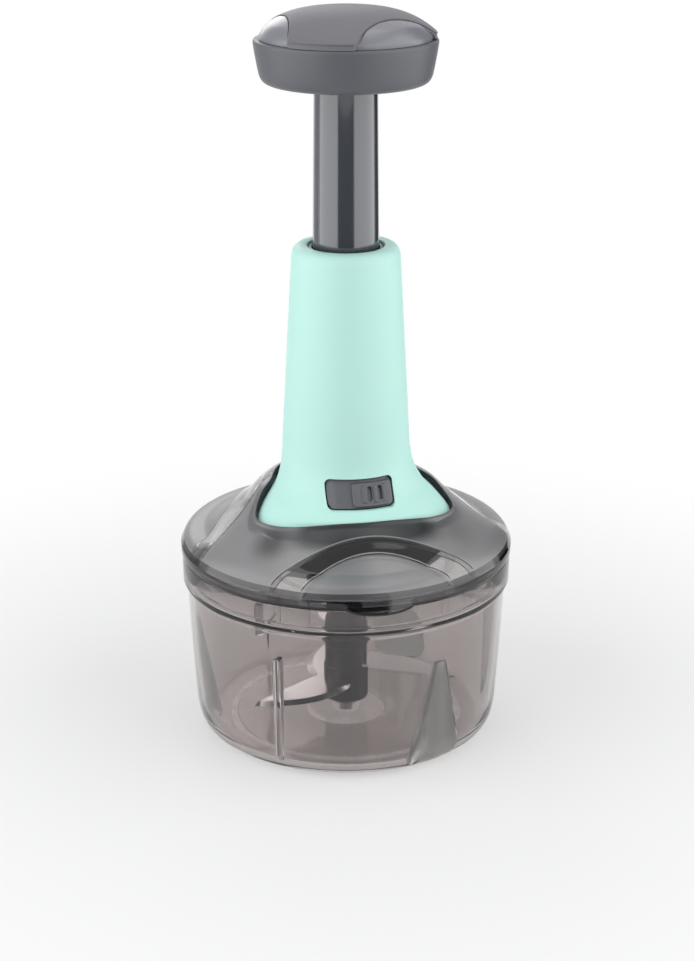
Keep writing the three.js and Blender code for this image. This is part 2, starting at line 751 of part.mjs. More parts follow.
// Return spring: one wire wound evenly from its seat up to the nut.
function makeReturnSpring() {
  const low = seatTop + fit + springWire / 2;
  const high = nutBottom - fit - springWire / 2;
  const coil = new THREE.Curve();
  coil.getPoint = (t) => {
    const a = 2 * Math.PI * springCurls * t;
    const radius = springRadius;
    return new THREE.Vector3(radius * Math.cos(a), radius * Math.sin(a), low + (high - low) * t);
  };
  const section = new THREE.Shape();
  for (let i = 0; i < wireSides; i += 1) {
    const a = (2 * Math.PI * i) / wireSides;
    const corner = [Math.cos(a), Math.sin(a)].map((v) => (v * springWire) / 2);
    if (i === 0) section.moveTo(...corner);
    else section.lineTo(...corner);
  }
  section.closePath();
  return solid(new THREE.ExtrudeGeometry(section, {
    steps: springCurls * curlSteps, extrudePath: coil, bevelEnabled: false,
  }));
}

// A flat bar twisted about Z. Its turn depends only on height, so nut and rod agree.
function twistedBar(halfWidth, halfThickness, bottom, top) {
  const shape = new THREE.Shape();
  const across = Array.from({ length: rodFaceSplits + 1 }, (_, i) => (
    halfWidth * ((2 * i) / rodFaceSplits - 1)));
  shape.moveTo(across[0], -halfThickness);
  across.slice(1).forEach((x) => shape.lineTo(x, -halfThickness));
  across.reverse().forEach((x) => shape.lineTo(x, halfThickness));
  shape.closePath();
  const steps = Math.ceil((rodStepsPerLead * (top - bottom)) / rodLead);
  const geometry = new THREE.ExtrudeGeometry(shape, { depth: top - bottom, steps, bevelEnabled: false });
  geometry.translate(0, 0, bottom);
  const spots = geometry.attributes.position;
  const point = new THREE.Vector3();
  const up = new THREE.Vector3(0, 0, 1);
  for (let i = 0; i < spots.count; i += 1) {
    point.fromBufferAttribute(spots, i);
    point.applyAxisAngle(up, (2 * Math.PI * (point.z - nutBottom)) / rodLead);
    spots.setXYZ(i, point.x, point.y, point.z);
  }
  return solid(geometry);
}

function makeRod() {
  const low = teethBottom + fit + toothHeight;
  const shank = turned([[0, low], [rodShankRadius, low], [rodShankRadius, rodFlangeBottom],
    [rodFlangeRadius, rodFlangeBottom], [rodFlangeRadius, rodFlangeTop], [0, rodFlangeTop]], smallSides);
  return shank.add(twistedBar(rodHalfWidth, rodHalfThickness, rodFlangeTop - fit, rodTop));
}

function makeNut() {
  const radius = plungerRadius - plungerWall - fit;
  const low = nutBottom - overrun;
  const slot = twistedBar(rodHalfWidth + nutSlack, rodHalfThickness + nutSlack, low, nutTop + overrun);
  return disc(radius, nutBottom, nutTop).subtract(slot);
}

// Plunger: a tube with a closed top, a shoulder over the nut and a key at its foot.
function makePlunger() {
  const nutRoom = plungerRadius - plungerWall;
  const above = nutRoom - plungerShoulder;
  const narrow = plungerTopRadius - plungerWall - plungerShoulder;
  const ceiling = plungerTop - plungerEndWall;
  const shoulder = nutTop + fit;
  const body = turned([[nutRoom, plungerLow], [plungerRadius, plungerLow],
    [plungerRadius, plungerDraftStart], [plungerTopRadius, plungerTop], [0, plungerTop], [0, ceiling],
    [narrow, ceiling], [above, plungerDraftStart], [above, shoulder], [nutRoom, shoulder],
    [nutRoom, plungerLow]]);
  const inside = plungerRadius - plungerWall / 2;
  const key = new THREE.BoxGeometry(2 * keyHalfWidth, keyReach - inside, keyHeight);
  key.translate(0, -(keyReach + inside) / 2, plungerLow + keyHeight / 2);
  const hole = disc(screwRadius + fit, ceiling - overrun, plungerTop + overrun, smallSides);
  return body.add(solid(key)).subtract(hole);
}

// A screw pointing up, with its head's underside at a height.
function makeScrew(spot, seat, length) {
  const low = seat - screwHeadHeight;
  const recess = screwHeadRadius / 2;
  return turned([[0, low + screwRecess], [recess, low + screwRecess], [recess, low],
    [screwHeadRadius, low], [screwHeadRadius, seat], [screwRadius, seat], [screwRadius, seat + length],
    [0, seat + length + screwRadius]], smallSides).translate([spot.x, spot.y, 0]);
}

// Saw teeth on a ring: every tooth climbs slowly and drops at once.
function sawRing(outside, inside, flat, base) {
  const pitch = 360 / ratchetTeeth;
  const sections = [];
  for (let k = 0; k < ratchetTeeth; k += 1) {
    for (const share of toothShares) {
      const turn = k * pitch + share * (pitch - toothFace);
      const top = base + share * toothHeight;
      sections.push([[inside, flat], [outside, flat], [outside, top], [inside, top]]
        .map(([r, z]) => at(r, turn, z)));
    }
  }
  const faces = [];
  sections.forEach((_, s) => {
    const next = (s + 1) % sections.length;
    for (let i = 0; i < 4; i += 1) {
      const [a, b, c, d] = [s, next].flatMap((q) => [4 * q + i, 4 * q + ((i + 1) % 4)]);
      faces.push(a, b, c, b, d, c);
    }
  });
  const geometry = new THREE.BufferGeometry().setFromPoints(sections.flat());
  geometry.setIndex(faces);
  return solid(geometry);
}

function makeDriver() {
  const ring = sawRing(ratchetRadius, ratchetHole, driverTop, teethBottom + fit);
  const webBottom = teethBottom + fit + toothHeight + fit;
  const plate = tube(ratchetHole + fit, rodShankRadius + fit, webBottom, driverTop);
  const neck = tube(driverNeckRadius, rodShankRadius + fit, driverTop - fit, bushBottom - run);
  return joined([ring, plate, neck]);
}

function makeDriven() {
  const ring = sawRing(ratchetRadius, ratchetHole, drivenBottom, teethBottom);
  const web = tube(ratchetHole + fit, spigotRadius + fit, drivenBottom, teethBottom);
  return ring.add(web);
}

function makeCup() {
  const inside = cupRadius - cupWall;
  const floorTop = cupBottom + cupFloor;
  const hole = neckRadius + run;
  const cup = turned([[hole, cupBottom], [cupRadius, cupBottom], [cupRadius, cupFlangeBottom],
    [cupFlangeRadius, cupFlangeBottom], [cupFlangeRadius, cupFlangeTop], [inside, cupFlangeTop],
    [inside, floorTop], [hole, floorTop], [hole, cupBottom]]);
  return withHoles(cup, innerScrewReach, cupFlangeBottom, cupFlangeTop);
}

function makeDiscSpring() {
  const low = cupBottom + cupFloor + fit;
  const high = low + discSpringRise;
  return turned([[discSpringInside, high], [discSpringOutside, low],
    [discSpringOutside, low + discSpringThickness], [discSpringInside, high + discSpringThickness],
    [discSpringInside, high]], smallSides);
}

function makeCoupler() {
  const top = cupBottom - fit;
  const low = hubTop + fit;
  const body = turned([[0, low], [hubRadius, low], [hubRadius, top], [neckRadius, top],
    [neckRadius, drivenBottom - fit], [spigotRadius, drivenBottom - fit], [spigotRadius, teethBottom],
    [0, teethBottom]]);
  return body.add(disc(keyTipRadius, hubTop - keyDepth, low + fit, keySides));
}

// Lock: a curved track fixed behind the window, and a slider that runs on it.
function makeTrack() {
  const back = housingWall + fit + trackLipThickness;
  const bed = windowBar(-fit).intersect(frontForm(-bedDepth)).subtract(frontForm(-back));
  const lip = windowBar(trackLip).intersect(housingForm(housingWall + fit, mouthHeight - mouthWall))
    .subtract(housingForm(back, mouthHeight - mouthWall));
  const slotTurns = [stemTurns[0] - sliderTravel - slotMargin, stemTurns[1] + slotMargin];
  const slot = wedge(slotTurns, footLobe, boltBottom - run, boltTop + run);
  return bed.add(lip).subtract(slot);
}

function makeSlider() {
  const low = windowBottom + sliderMargin;
  const high = windowTop - sliderMargin;
  const block = new THREE.BoxGeometry(sliderWidth, footLobe, high - low);
  block.translate(windowWidth / 2 - run - sliderWidth / 2, -footLobe / 2, (low + high) / 2);
  const body = frontForm(sliderRise).subtract(frontForm(run - bedDepth)).intersect(solid(block));
  const roomTurns = [stemTurns[0] - stemMargin, stemTurns[1] + stemMargin];
  const stemRoom = wedge(roomTurns, footLobe, boltBottom - fit, boltTop + fit)
    .intersect(frontForm(fit - sliderRise));
  const grooves = grooveTurns.map((turn) => {
    const bar = new THREE.BoxGeometry(grooveWidth, footLobe, high - low - 2 * sliderMargin);
    bar.translate(0, -footLobe / 2, (low + high) / 2);
    return turnedAbout(solid(bar), turn).subtract(frontForm(sliderRise - grooveDepth));
  });
  return [stemRoom, ...grooves].reduce((piece, cutter) => piece.subtract(cutter), body);
}

function makeBolt() {
  const inner = disc(guideRadius + guideWall + run, boltBottom - overrun, boltTop + overrun);
  const finger = wedge(boltTurns, boltBack, boltBottom, boltTop);
  const stem = wedge(stemTurns, footLobe, boltBottom, boltTop).intersect(frontForm(-sliderRise));
  return finger.add(stem).subtract(inner);
}

// Knob: a round cup on the plunger, closed by a glossy cap under a soft pad.
function makeKnobCup() {
  const rise = knobRim - knobBottom;
  const outline = knobShares.map(([r, z]) => [r * knobRadius, knobBottom + z * rise]);
  const body = turned([[0, knobBottom], ...outline, [0, knobRim]], bigSides);
  const inside = outline.slice(1).map(([r, z]) => (
    [r - knobWall, Math.max(z, knobBottom + knobFloor + (z - knobBottom) * knobFloorShare)]));
  const mouth = [knobRadius - knobWall, knobRim + overrun];
  const hollow = turned([[0, inside[0][1]], ...inside, mouth, [0, mouth[1]]], bigSides);
  const socketTop = plungerTop + fit + socketFloor;
  const socket = disc(plungerRadius + fit + socketWall, knobBottom + fit, socketTop);
  const bore = disc(plungerRadius + fit, knobBottom - overrun, plungerTop + fit);
  const hole = disc(screwRadius + fit, plungerTop - overrun, socketTop + overrun, smallSides);
  return body.subtract(hollow).add(socket).subtract(bore).subtract(hole);
}

// The knob's crown, or the same form moved inwards, from a height up.
function domeForm(inset, low) {
  const radius = domeRadius - inset;
  const shoulder = knobRim + fit + domeEdge - inset;
  const line = Array.from({ length: domeSteps + 1 }, (_, i) => {
    const rho = Math.cos((Math.PI / 2) * (i / domeSteps));
    return [Math.abs(rho) * radius, shoulder + domeHeight * (1 - Math.abs(rho) ** domePower)];
  });
  return turned([[0, low], [radius, low], ...line], bigSides);
}

// The pad leaves three windows open, where the glossy cap shows.
function makePad() {
  const cover = domeForm(0, knobRim + fit).subtract(domeForm(padThickness, knobRim - 2 * overrun));
  const windows = windowTurns.map((turn) => {
    const centre = at(windowApex + windowArcRadius, turn, 0);
    const blank = disc(windowArcRadius, knobRim, knobRim + domeEdge + domeHeight + overrun, 4 * bigSides);
    return blank.translate([centre.x, centre.y, 0]);
  });
  return windows.reduce((piece, cutter) => piece.subtract(cutter), cover);
}

function makeCap() {
  const inset = padThickness + fit;
  return domeForm(inset, knobRim + fit).subtract(domeForm(inset + capThickness, knobRim - 2 * overrun));
}

addPart('bowl', makeBowl(), clearTint, 0.08);
addPart('pivot_pin', makePivotPin(), steel, 0.25, 1);
addPart('blade_hub', makeHub(), darkGrey, 0.45);
['blade_top', 'blade_middle', 'blade_bottom'].forEach((name, index) => {
  addPart(name, makeBlade(index), steel, 0.2, 1);
});
addPart('lid', makeLid(), smoke, 0.12);
addPart('mechanism_plate', makePlate(), nylon, 0.5);
addPart('drive_bush', makeBush(), nylon, 0.4);
addPart('guide_tube', makeGuide(), nylon, 0.45);
addPart('mouth_bush', makeMouthBush(), darkGrey, 0.4);
addPart('spring_seat', makeSpringSeat(), steel, 0.35, 1);
addPart('return_spring', makeReturnSpring(), steel, 0.3, 1);
addPart('handle_housing', makeHousing(), mint, 0.55);
postTurns.forEach((turn, k) => {
  const bite = lidWall + 2 * fit + screwBite - screwRadius;
  const outer = makeScrew(at(postReach, turn, 0), lidUnder - fit, bite);
  const seat = cupFlangeBottom - fit;
  const inner = makeScrew(at(innerScrewReach, turn, 0), seat, guideBottom + screwBite - plateHeight - seat);
  addPart(`housing_screw_${k + 1}`, outer, steel, 0.35, 1);
  addPart(`plate_screw_${k + 1}`, inner, steel, 0.35, 1);
});
addPart('clutch_cup', makeCup(), nylon, 0.5);
addPart('clutch_driver', makeDriver(), nylon, 0.45);
addPart('clutch_driven', makeDriven(), nylon, 0.45);
addPart('clutch_spring', makeDiscSpring(), steel, 0.3, 1);
addPart('drive_coupler', makeCoupler(), darkGrey, 0.45);
addPart('drive_rod', makeRod(), steel, 0.25, 1);
addPart('drive_nut', makeNut(), nylon, 0.45);
addPart('plunger_tube', makePlunger(), darkGrey, 0.15);
addPart('lock_track', makeTrack(), darkGrey, 0.35);
addPart('lock_slider', makeSlider(), darkGrey, 0.35);
addPart('lock_bolt', makeBolt(), nylon, 0.45);
addPart('knob_cup', turnedAbout(makeKnobCup(), knobTurn), darkGrey, 0.5);
addPart('knob_cap', turnedAbout(makeCap(), knobTurn), darkGrey, 0.12);
addPart('knob_pad', turnedAbout(makePad(), knobTurn), darkGrey, 0.6);
const knobScrewSeat = plungerTop + fit + socketFloor + fit;
addPart('knob_screw', makeScrew(at(0, 0, 0), 0, socketFloor + plungerEndWall).rotate([180, 0, 0])
  .translate([0, 0, knobScrewSeat]), steel, 0.35, 1);

export default group;
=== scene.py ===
from math import atan2, cos, degrees, exp, hypot, pi, radians, sin, tau

import bmesh
import bpy
from mathutils import Matrix, Vector
from mathutils.bvhtree import BVHTree
from mathutils.geometry import interpolate_bezier


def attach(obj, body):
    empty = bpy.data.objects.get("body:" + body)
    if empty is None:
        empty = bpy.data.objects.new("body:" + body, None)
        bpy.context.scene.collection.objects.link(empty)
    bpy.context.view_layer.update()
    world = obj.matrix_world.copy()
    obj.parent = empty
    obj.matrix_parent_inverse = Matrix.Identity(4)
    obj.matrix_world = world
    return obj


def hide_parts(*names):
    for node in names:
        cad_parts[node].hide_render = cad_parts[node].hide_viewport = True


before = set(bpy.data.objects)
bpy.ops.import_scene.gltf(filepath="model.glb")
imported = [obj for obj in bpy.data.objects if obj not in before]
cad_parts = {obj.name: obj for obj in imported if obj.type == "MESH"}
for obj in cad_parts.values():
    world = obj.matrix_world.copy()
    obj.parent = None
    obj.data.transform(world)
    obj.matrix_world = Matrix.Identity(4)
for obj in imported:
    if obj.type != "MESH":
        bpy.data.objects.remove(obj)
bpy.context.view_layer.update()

# Camera. It stands at the photograph's own angle, a little left of the front and above the rim,
# with a longish lens, so that the tall handle keeps straight sides.
mm = 0.001
camera_turn = radians(-11.5)
camera_pitch = radians(20.29)
camera_distance = 734 * mm
camera_height = 371 * mm
camera_aside = 0.4 * mm
lens_length = 74.9
sensor_width = 36
camera = bpy.data.objects.new("camera", bpy.data.cameras.new("camera"))
camera.data.lens = lens_length
camera.data.sensor_width = sensor_width
stand = Vector((camera_aside, -camera_distance, camera_height))
camera.location = Matrix.Rotation(camera_turn, 3, "Z") @ stand
camera.rotation_euler = (pi / 2 - camera_pitch, 0, camera_turn)
bpy.context.scene.collection.objects.link(camera)
bpy.context.scene.camera = camera
bpy.context.scene.view_settings.view_transform = "Standard"


# Studio floor. A sheet of white paper lies under the object, lit by the lamps near it so that it
# keeps the shadow, and further off it shows plain white.
def hex_colour(code):
    """The linear colour of an sRGB hex value."""
    shares = [int(code[i:i + 2], 16) / 255 for i in (0, 2, 4)]
    return (*[s / 12.92 if s <= 0.04045 else ((s + 0.055) / 1.055) ** 2.4 for s in shares], 1)


def add(tree, kind, sockets, **settings):
    """A node with its settings, and each socket set to a value or linked to an output. A node in
    place of an output means the first one that its settings leave in use."""
    made = tree.nodes.new("ShaderNode" + kind)
    for name, value in settings.items():
        setattr(made, name, value)
    for name, value in sockets.items():
        if isinstance(value, bpy.types.Node):
            value = next(output for output in value.outputs if output.enabled)
        if isinstance(value, bpy.types.NodeSocket):
            tree.links.new(value, made.inputs[name])
        else:
            made.inputs[name].default_value = value
    return made


def blank_material(name):
    """A new material and its empty node tree."""
    made = bpy.data.materials.new(name)
    made.use_nodes = True
    made.node_tree.nodes.clear()
    return made, made.node_tree


def link_object(name, data):
    """A new object in the scene."""
    made = bpy.data.objects.new(name, data)
    bpy.context.scene.collection.objects.link(made)
    return made


def seen_share(tree):
    """1 for what the eye sees, straight, in gloss or through clear walls, and 0 for other light."""
    path = add(tree, "LightPath", {}).outputs
    seen = add(tree, "Math", {0: path["Is Camera Ray"], 1: path["Is Glossy Ray"]}, operation="MAXIMUM")
    return add(tree, "Math", {0: seen, 1: path["Is Transmission Ray"]}, operation="MAXIMUM")


# Plain matt paper, which the eye sees as pure white from some way off
lit_share = 0.4
lit_reach, white_reach = 90 * mm, 330 * mm
paper, tree = blank_material("white_paper")
place = add(tree, "TexCoord", {}).outputs["Object"]
reach = add(tree, "VectorMath", {0: place}, operation="LENGTH")
far = add(tree, "MapRange", {0: reach, 1: lit_reach, 2: white_reach, 3: lit_share},
          interpolation_type="SMOOTHSTEP")
share = add(tree, "Math", {0: seen_share(tree), 1: far}, operation="MULTIPLY")
matt = add(tree, "BsdfDiffuse", {"Color": hex_colour("EDEDED")})
glow = add(tree, "Emission", {"Color": hex_colour("FFFFFF"), "Strength": 1})
blend = add(tree, "MixShader", {0: share, 1: matt, 2: glow})
add(tree, "OutputMaterial", {"Surface": blend})

floor_radius = 6
bm = bmesh.new()
bmesh.ops.create_circle(bm, cap_ends=True, segments=64, radius=floor_radius)
floor_mesh = bpy.data.meshes.new("floor")
bm.to_mesh(floor_mesh)
bm.free()
floor_mesh.materials.append(paper)
floor = link_object("floor", floor_mesh)

# Studio light. Two tall soft boxes stand at the sides and a wide one hangs overhead, in a pale
# room. Dark cards in front and behind the boxes draw the dark bands that polished pieces show.
room_light = 0.3
world = bpy.data.worlds.new("studio")
world.use_nodes = True
tree = world.node_tree
tree.nodes.clear()
room = add(tree, "Background", {"Color": hex_colour("F0F2F4"), "Strength": room_light})
white = add(tree, "Background", {"Color": hex_colour("FFFFFF"), "Strength": 1})
blend = add(tree, "MixShader", {0: seen_share(tree), 1: room, 2: white})
add(tree, "OutputWorld", {"Surface": blend})
bpy.context.scene.world = world


def facing(made, turn, distance, height, aim):
    """Stands a lamp or card at a turn from the camera's own, facing the object."""
    spin = Matrix.Rotation(camera_turn + radians(turn), 3, "Z")
    made.location = spin @ Vector((0, -distance, height))
    made.rotation_euler = (Vector((0, 0, aim)) - made.location).to_track_quat("-Z", "Y").to_euler()
    made.visible_camera = False
    return made


# Each soft box has its turn in degrees, its distance, height and size in metres, its power in
# watts, and the height that it aims at
for name, turn, distance, height, size, power, aim in (
        ("box_left", -65.5, 0.55, 0.5, (0.82, 0.96), 4.0, 0.5),
        ("box_right", 71.5, 0.55, 0.5, (1.0, 0.96), 4.2, 0.5),
        ("box_over", 180, 0.15, 1.3, (1.0, 0.8), 3.9, 0.2),
        ("box_back", -166, 0.9, 0.5, (0.4, 0.34), 0.9, 0.28)):
    lamp = bpy.data.lights.new(name, "AREA")
    lamp.shape = "RECTANGLE"
    lamp.size, lamp.size_y = size
    lamp.energy = power
    facing(link_object(name, lamp), turn, distance, height, aim)

# Each card has its felt's shade, its turn, and its distance, height, width and tallness in metres
for name, shade, turn, distance, height, width, tall in (
        ("card_front", "262626", 0, 0.46, 0.09, 0.46, 0.17),
        ("card_left", "C8C8C8", -128, 0.5, 0.36, 0.3, 0.72),
        ("card_right", "202020", 134, 0.5, 0.36, 0.26, 0.72)):
    # Wool felt, dull all over, so that only its shade shows in the polish
    card_felt, tree = blank_material(name + "_felt")
    felt = add(tree, "BsdfDiffuse", {"Color": hex_colour(shade)})
    add(tree, "OutputMaterial", {"Surface": felt})
    bm = bmesh.new()
    bmesh.ops.create_grid(bm, x_segments=1, y_segments=1, size=0.5)
    bmesh.ops.scale(bm, vec=(width, tall, 1), verts=bm.verts)
    mesh = bpy.data.meshes.new(name)
    bm.to_mesh(mesh)
    bm.free()
    mesh.materials.append(card_felt)
    card = facing(link_object(name, mesh), turn, distance, height, height)
    card.visible_diffuse = False
    card.visible_shadow = False


# Bowl. One clear smoky injection-moulded styrene bowl with a thick foot ring, a stepped rim and
# turning fins inside its wall, and a boss in its floor that holds the steel pin.
same_place = 0.001 * mm


def section_wire(points, names=(), closed=True):
    """The wire of a section through points of (reach, height) in millimetres, and its corners.
    Further values of a point are kept on its corner, under the names."""
    bm = bmesh.new()
    layers = [bm.verts.layers.float.new(name) for name in names]
    corners = []
    for reach, height, *values in points:
        corner = bm.verts.new((reach * mm, 0, height * mm))
        for layer, value in zip(layers, values):
            corner[layer] = value
        corners.append(corner)
    for first, last in zip(corners, corners[1:] + corners[:1] if closed else corners[1:]):
        bm.edges.new((first, last))
    return bm, corners


def turned_round(bm, steps):
    """The wire of a section, spun into a closed skin with its faces outward."""
    bmesh.ops.spin(bm, geom=bm.verts[:] + bm.edges[:], cent=(0, 0, 0), axis=(0, 0, 1), angle=tau,
                   steps=steps, use_merge=True)
    bmesh.ops.remove_doubles(bm, verts=bm.verts, dist=same_place)
    bmesh.ops.recalc_face_normals(bm, faces=bm.faces)
    return bm


def rounded(bm, geometry, radius, segments=5, affect="EDGES"):
    """Rounds edges, or the corners of a section, to a radius in millimetres."""
    bmesh.ops.bevel(bm, geom=geometry, offset=radius * mm, segments=segments, profile=0.5, affect=affect,
                    material=-1)


def spun(points, steps, closed=False):
    """A skin turned about the axis, from points of (reach, height, rounding) in millimetres."""
    bm, corners = section_wire([point[:2] for point in points], closed=closed)
    for point, corner in zip(points, corners):
        if len(point) > 2:
            rounded(bm, [corner], point[2], affect="VERTICES")
    return turned_round(bm, steps)


def add_block(bm, size, middle):
    """A block of a size about a middle, both in millimetres. Gives its corners."""
    corners = bmesh.ops.create_cube(bm, size=1)["verts"]
    bmesh.ops.scale(bm, vec=[side * mm for side in size], verts=corners)
    bmesh.ops.translate(bm, vec=[at * mm for at in middle], verts=corners)
    return corners


def swing(bm, corners, turn):
    """Swings corners from the front about the axis to a turn."""
    bmesh.ops.rotate(bm, cent=(0, 0, 0), matrix=Matrix.Rotation(radians(turn), 3, "Z"), verts=corners)


def combined(bm, tool, operation):
    """One body from two: the tool joined on or cut out."""
    blanks = []
    for part in (bm, tool):
        mesh = bpy.data.meshes.new("blank")
        part.to_mesh(mesh)
        part.free()
        blanks.append(link_object("blank", mesh))
    change = blanks[0].modifiers.new("change", "BOOLEAN")
    change.object = blanks[1]
    change.operation = operation
    change.solver = "EXACT"
    result = bmesh.new()
    result.from_object(blanks[0], bpy.context.evaluated_depsgraph_get())
    for blank in blanks:
        bpy.data.meshes.remove(blank.data)
    return result


def moulding(name, bm, material, body, slot, *replaced, crease=32):
    """A finished piece: smooth faces with sharp creases, its finish, and what it stands for."""
    mesh = bpy.data.meshes.new(name)
    bm.to_mesh(mesh)
    bm.free()
    mesh.shade_smooth()
    mesh.set_sharp_from_angle(angle=radians(crease))
    mesh.materials.append(material)
    made = link_object(name, mesh)
    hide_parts(*replaced)
    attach(made, body)
    return made


def place_in_tree(tree):
    """A point's place in metres, its place from above in millimetres, and its reach from the axis."""
    place = add(tree, "TexCoord", {}).outputs["Object"]
    flat = add(tree, "VectorMath", {0: place, 1: (1 / mm, 1 / mm, 0)}, operation="MULTIPLY")
    return place, flat, add(tree, "VectorMath", {0: flat}, operation="LENGTH")


def finish_clear(tree, clear, tint):
    """Ends a clear material, so that light falls through it with its tint."""
    passed = add(tree, "BsdfTransparent", {"Color": hex_colour(tint)})
    shadow = add(tree, "LightPath", {}).outputs["Is Shadow Ray"]
    blend = add(tree, "MixShader", {0: shadow, 1: clear, 2: passed})
    add(tree, "OutputMaterial", {"Surface": blend})


# Both kinds of fin stand on the floor, at every third of a turn: a plain rib, and a wedge that
# tapers upwards from its half width and half depth to a small share of them
thirds = (0, 120, 240)
fin_foot, fin_middle = 2.1, 60.6
rib_turn, rib_size, rib_round = -37, (3.2, 9, 46.6), 1.5
wedge_turn, wedge_half, wedge_height, wedge_top_share = 24, (14.5, 10), 43, 0.2

# Styrene acrylonitrile, moulded clear with a smoke tint: gloss, and a shade that deepens
# towards the edges, where the eye looks through more of it. The wedges are frosted by the mould.
flow_size, ripple_depth = 25 * mm, 0.15 * mm
# The inside of the wall, and how far off it, off the floor and off a wedge's skin the frost ends
wall_foot, wall_slope = 57.4, 0.062
wall_near, wall_far = 0.3, 0.5
floor_near, floor_far = 3.0, 3.4
skin_near_share, skin_far_share = 0.02, 0.05
soft = {"interpolation_type": "SMOOTHSTEP"}
smoky_clear, tree = blank_material("smoke_tinted_clear_styrene")
place, flat, reach = place_in_tree(tree)
flow = add(tree, "TexNoise", {"Vector": place, "Scale": 1 / flow_size, "Detail": 1.5})
ripple = add(tree, "Bump", {"Height": flow, "Distance": ripple_depth, "Strength": 0.25})
height = add(tree, "Math", {0: add(tree, "SeparateXYZ", {0: place}).outputs["Z"], 1: mm}, operation="DIVIDE")
wall = add(tree, "Math", {0: height, 1: wall_slope, 2: wall_foot}, operation="MULTIPLY_ADD")
narrowing = (1 - wedge_top_share) / wedge_height
taper = add(tree, "Math", {0: height, 1: -narrowing, 2: 1 + narrowing * fin_foot}, operation="MULTIPLY_ADD")
frosts = []
for extra in thirds:
    turn = radians(wedge_turn + extra)
    middle = (fin_middle * sin(turn), -fin_middle * cos(turn), 0)
    local = add(tree, "Mapping", {"Vector": flat, "Location": middle, "Rotation": (0, 0, turn),
                                  "Scale": (*wedge_half, 1)}, vector_type="TEXTURE")
    length = add(tree, "VectorMath", {0: local}, operation="LENGTH")
    out = add(tree, "Math", {0: length, 1: taper}, operation="SUBTRACT")
    frosts.append(add(tree, "MapRange", {0: out, 1: skin_near_share, 2: skin_far_share, 3: 1, 4: 0}, **soft))
while len(frosts) > 1:
    frosts[:2] = [add(tree, "Math", {0: frosts[0], 1: frosts[1]}, operation="MAXIMUM")]
inside_wall = add(tree, "Math", {0: wall, 1: reach}, operation="SUBTRACT")
frost = frosts[0]
for share in (add(tree, "MapRange", {0: inside_wall, 1: wall_near, 2: wall_far}, **soft),
              add(tree, "MapRange", {0: height, 1: floor_near, 2: floor_far}, **soft)):
    frost = add(tree, "Math", {0: frost, 1: share}, operation="MULTIPLY")
rough = add(tree, "MapRange", {"Value": frost, "To Min": 0.03, "To Max": 0.3})
through = add(tree, "MapRange", {"Value": frost, "To Min": 1, "To Max": 0.66})
tone = add(tree, "Mix", {0: frost, 6: hex_colour("CAC4C3"), 7: hex_colour("AAB2AE")}, data_type="RGBA")
clear = add(tree, "BsdfPrincipled", {
    "Base Color": tone, "Roughness": rough, "IOR": 1.5, "Transmission Weight": through, "Normal": ripple})
finish_clear(tree, clear, "CAC4C3")

# From the foot pad and ring up the outside, over the rim, and down the inside to the boss
bowl_section = [
    (0, 0), (16, 0, 0.3), (16, 0.8), (44, 0.8), (44, 0, 0.3), (50, 0, 3), (55.8, 0.7, 2.4), (58.9, 3.4, 2.6),
    (60.1, 9.0, 3), (61.6, 32.7), (63.0, 60.0, 0.5), (64.6, 61.8, 0.4), (64.6, 72.6, 0.7), (62.6, 72.6, 0.7),
    (62.6, 63.4, 0.6), (61.0, 61.4, 0.6), (59.6, 32.7), (58.0, 9.6, 3), (56.8, 5.3, 2.4), (54.0, 3.0, 2),
    (49.5, 2.4, 2), (5.5, 2.4, 0.8), (5.5, 7.3, 0.4), (2.9, 7.3, 0.2), (2.9, 1.6), (0, 1.6),
]
# The middle of the wall, which the fins run into and stop at
wall_middle = [(0, 1.4), (52, 1.4), (56.0, 3.0), (58.2, 6.4), (59.0, 10), (60.6, 32.7), (62.0, 60), (0, 60)]


def rib_form():
    """A plain rib about the axis, with soft edges at its top and on the side that faces the food."""
    fin = bmesh.new()
    add_block(fin, rib_size, (0, 0, 0))
    soft_edges = [edge for edge in fin.edges
                  if sum(v.co.y for v in edge.verts) > 0 or sum(v.co.z for v in edge.verts) > 0]
    rounded(fin, soft_edges, rib_round)
    return fin


def wedge_form():
    """A wide fin about the axis: a flattened cone."""
    fin = bmesh.new()
    bmesh.ops.create_cone(fin, cap_ends=True, segments=40, radius1=1, radius2=wedge_top_share,
                          depth=wedge_height * mm)
    bmesh.ops.scale(fin, vec=[half * mm for half in wedge_half] + [1], verts=fin.verts)
    return fin


bm = spun(bowl_section, steps=128)
for form, turn, tall in ((rib_form, rib_turn, rib_size[2]), (wedge_form, wedge_turn, wedge_height)):
    for extra in thirds:
        fin = form()
        bmesh.ops.translate(fin, vec=(0, -fin_middle * mm, (fin_foot + tall / 2) * mm), verts=fin.verts)
        swing(fin, fin.verts, turn + extra)
        bm = combined(bm, combined(fin, spun(wall_middle, steps=128), "INTERSECT"), "UNION")
moulding("bowl_clear_shell", bm, smoky_clear, "bowl_body", "bowl_clear", "bowl")


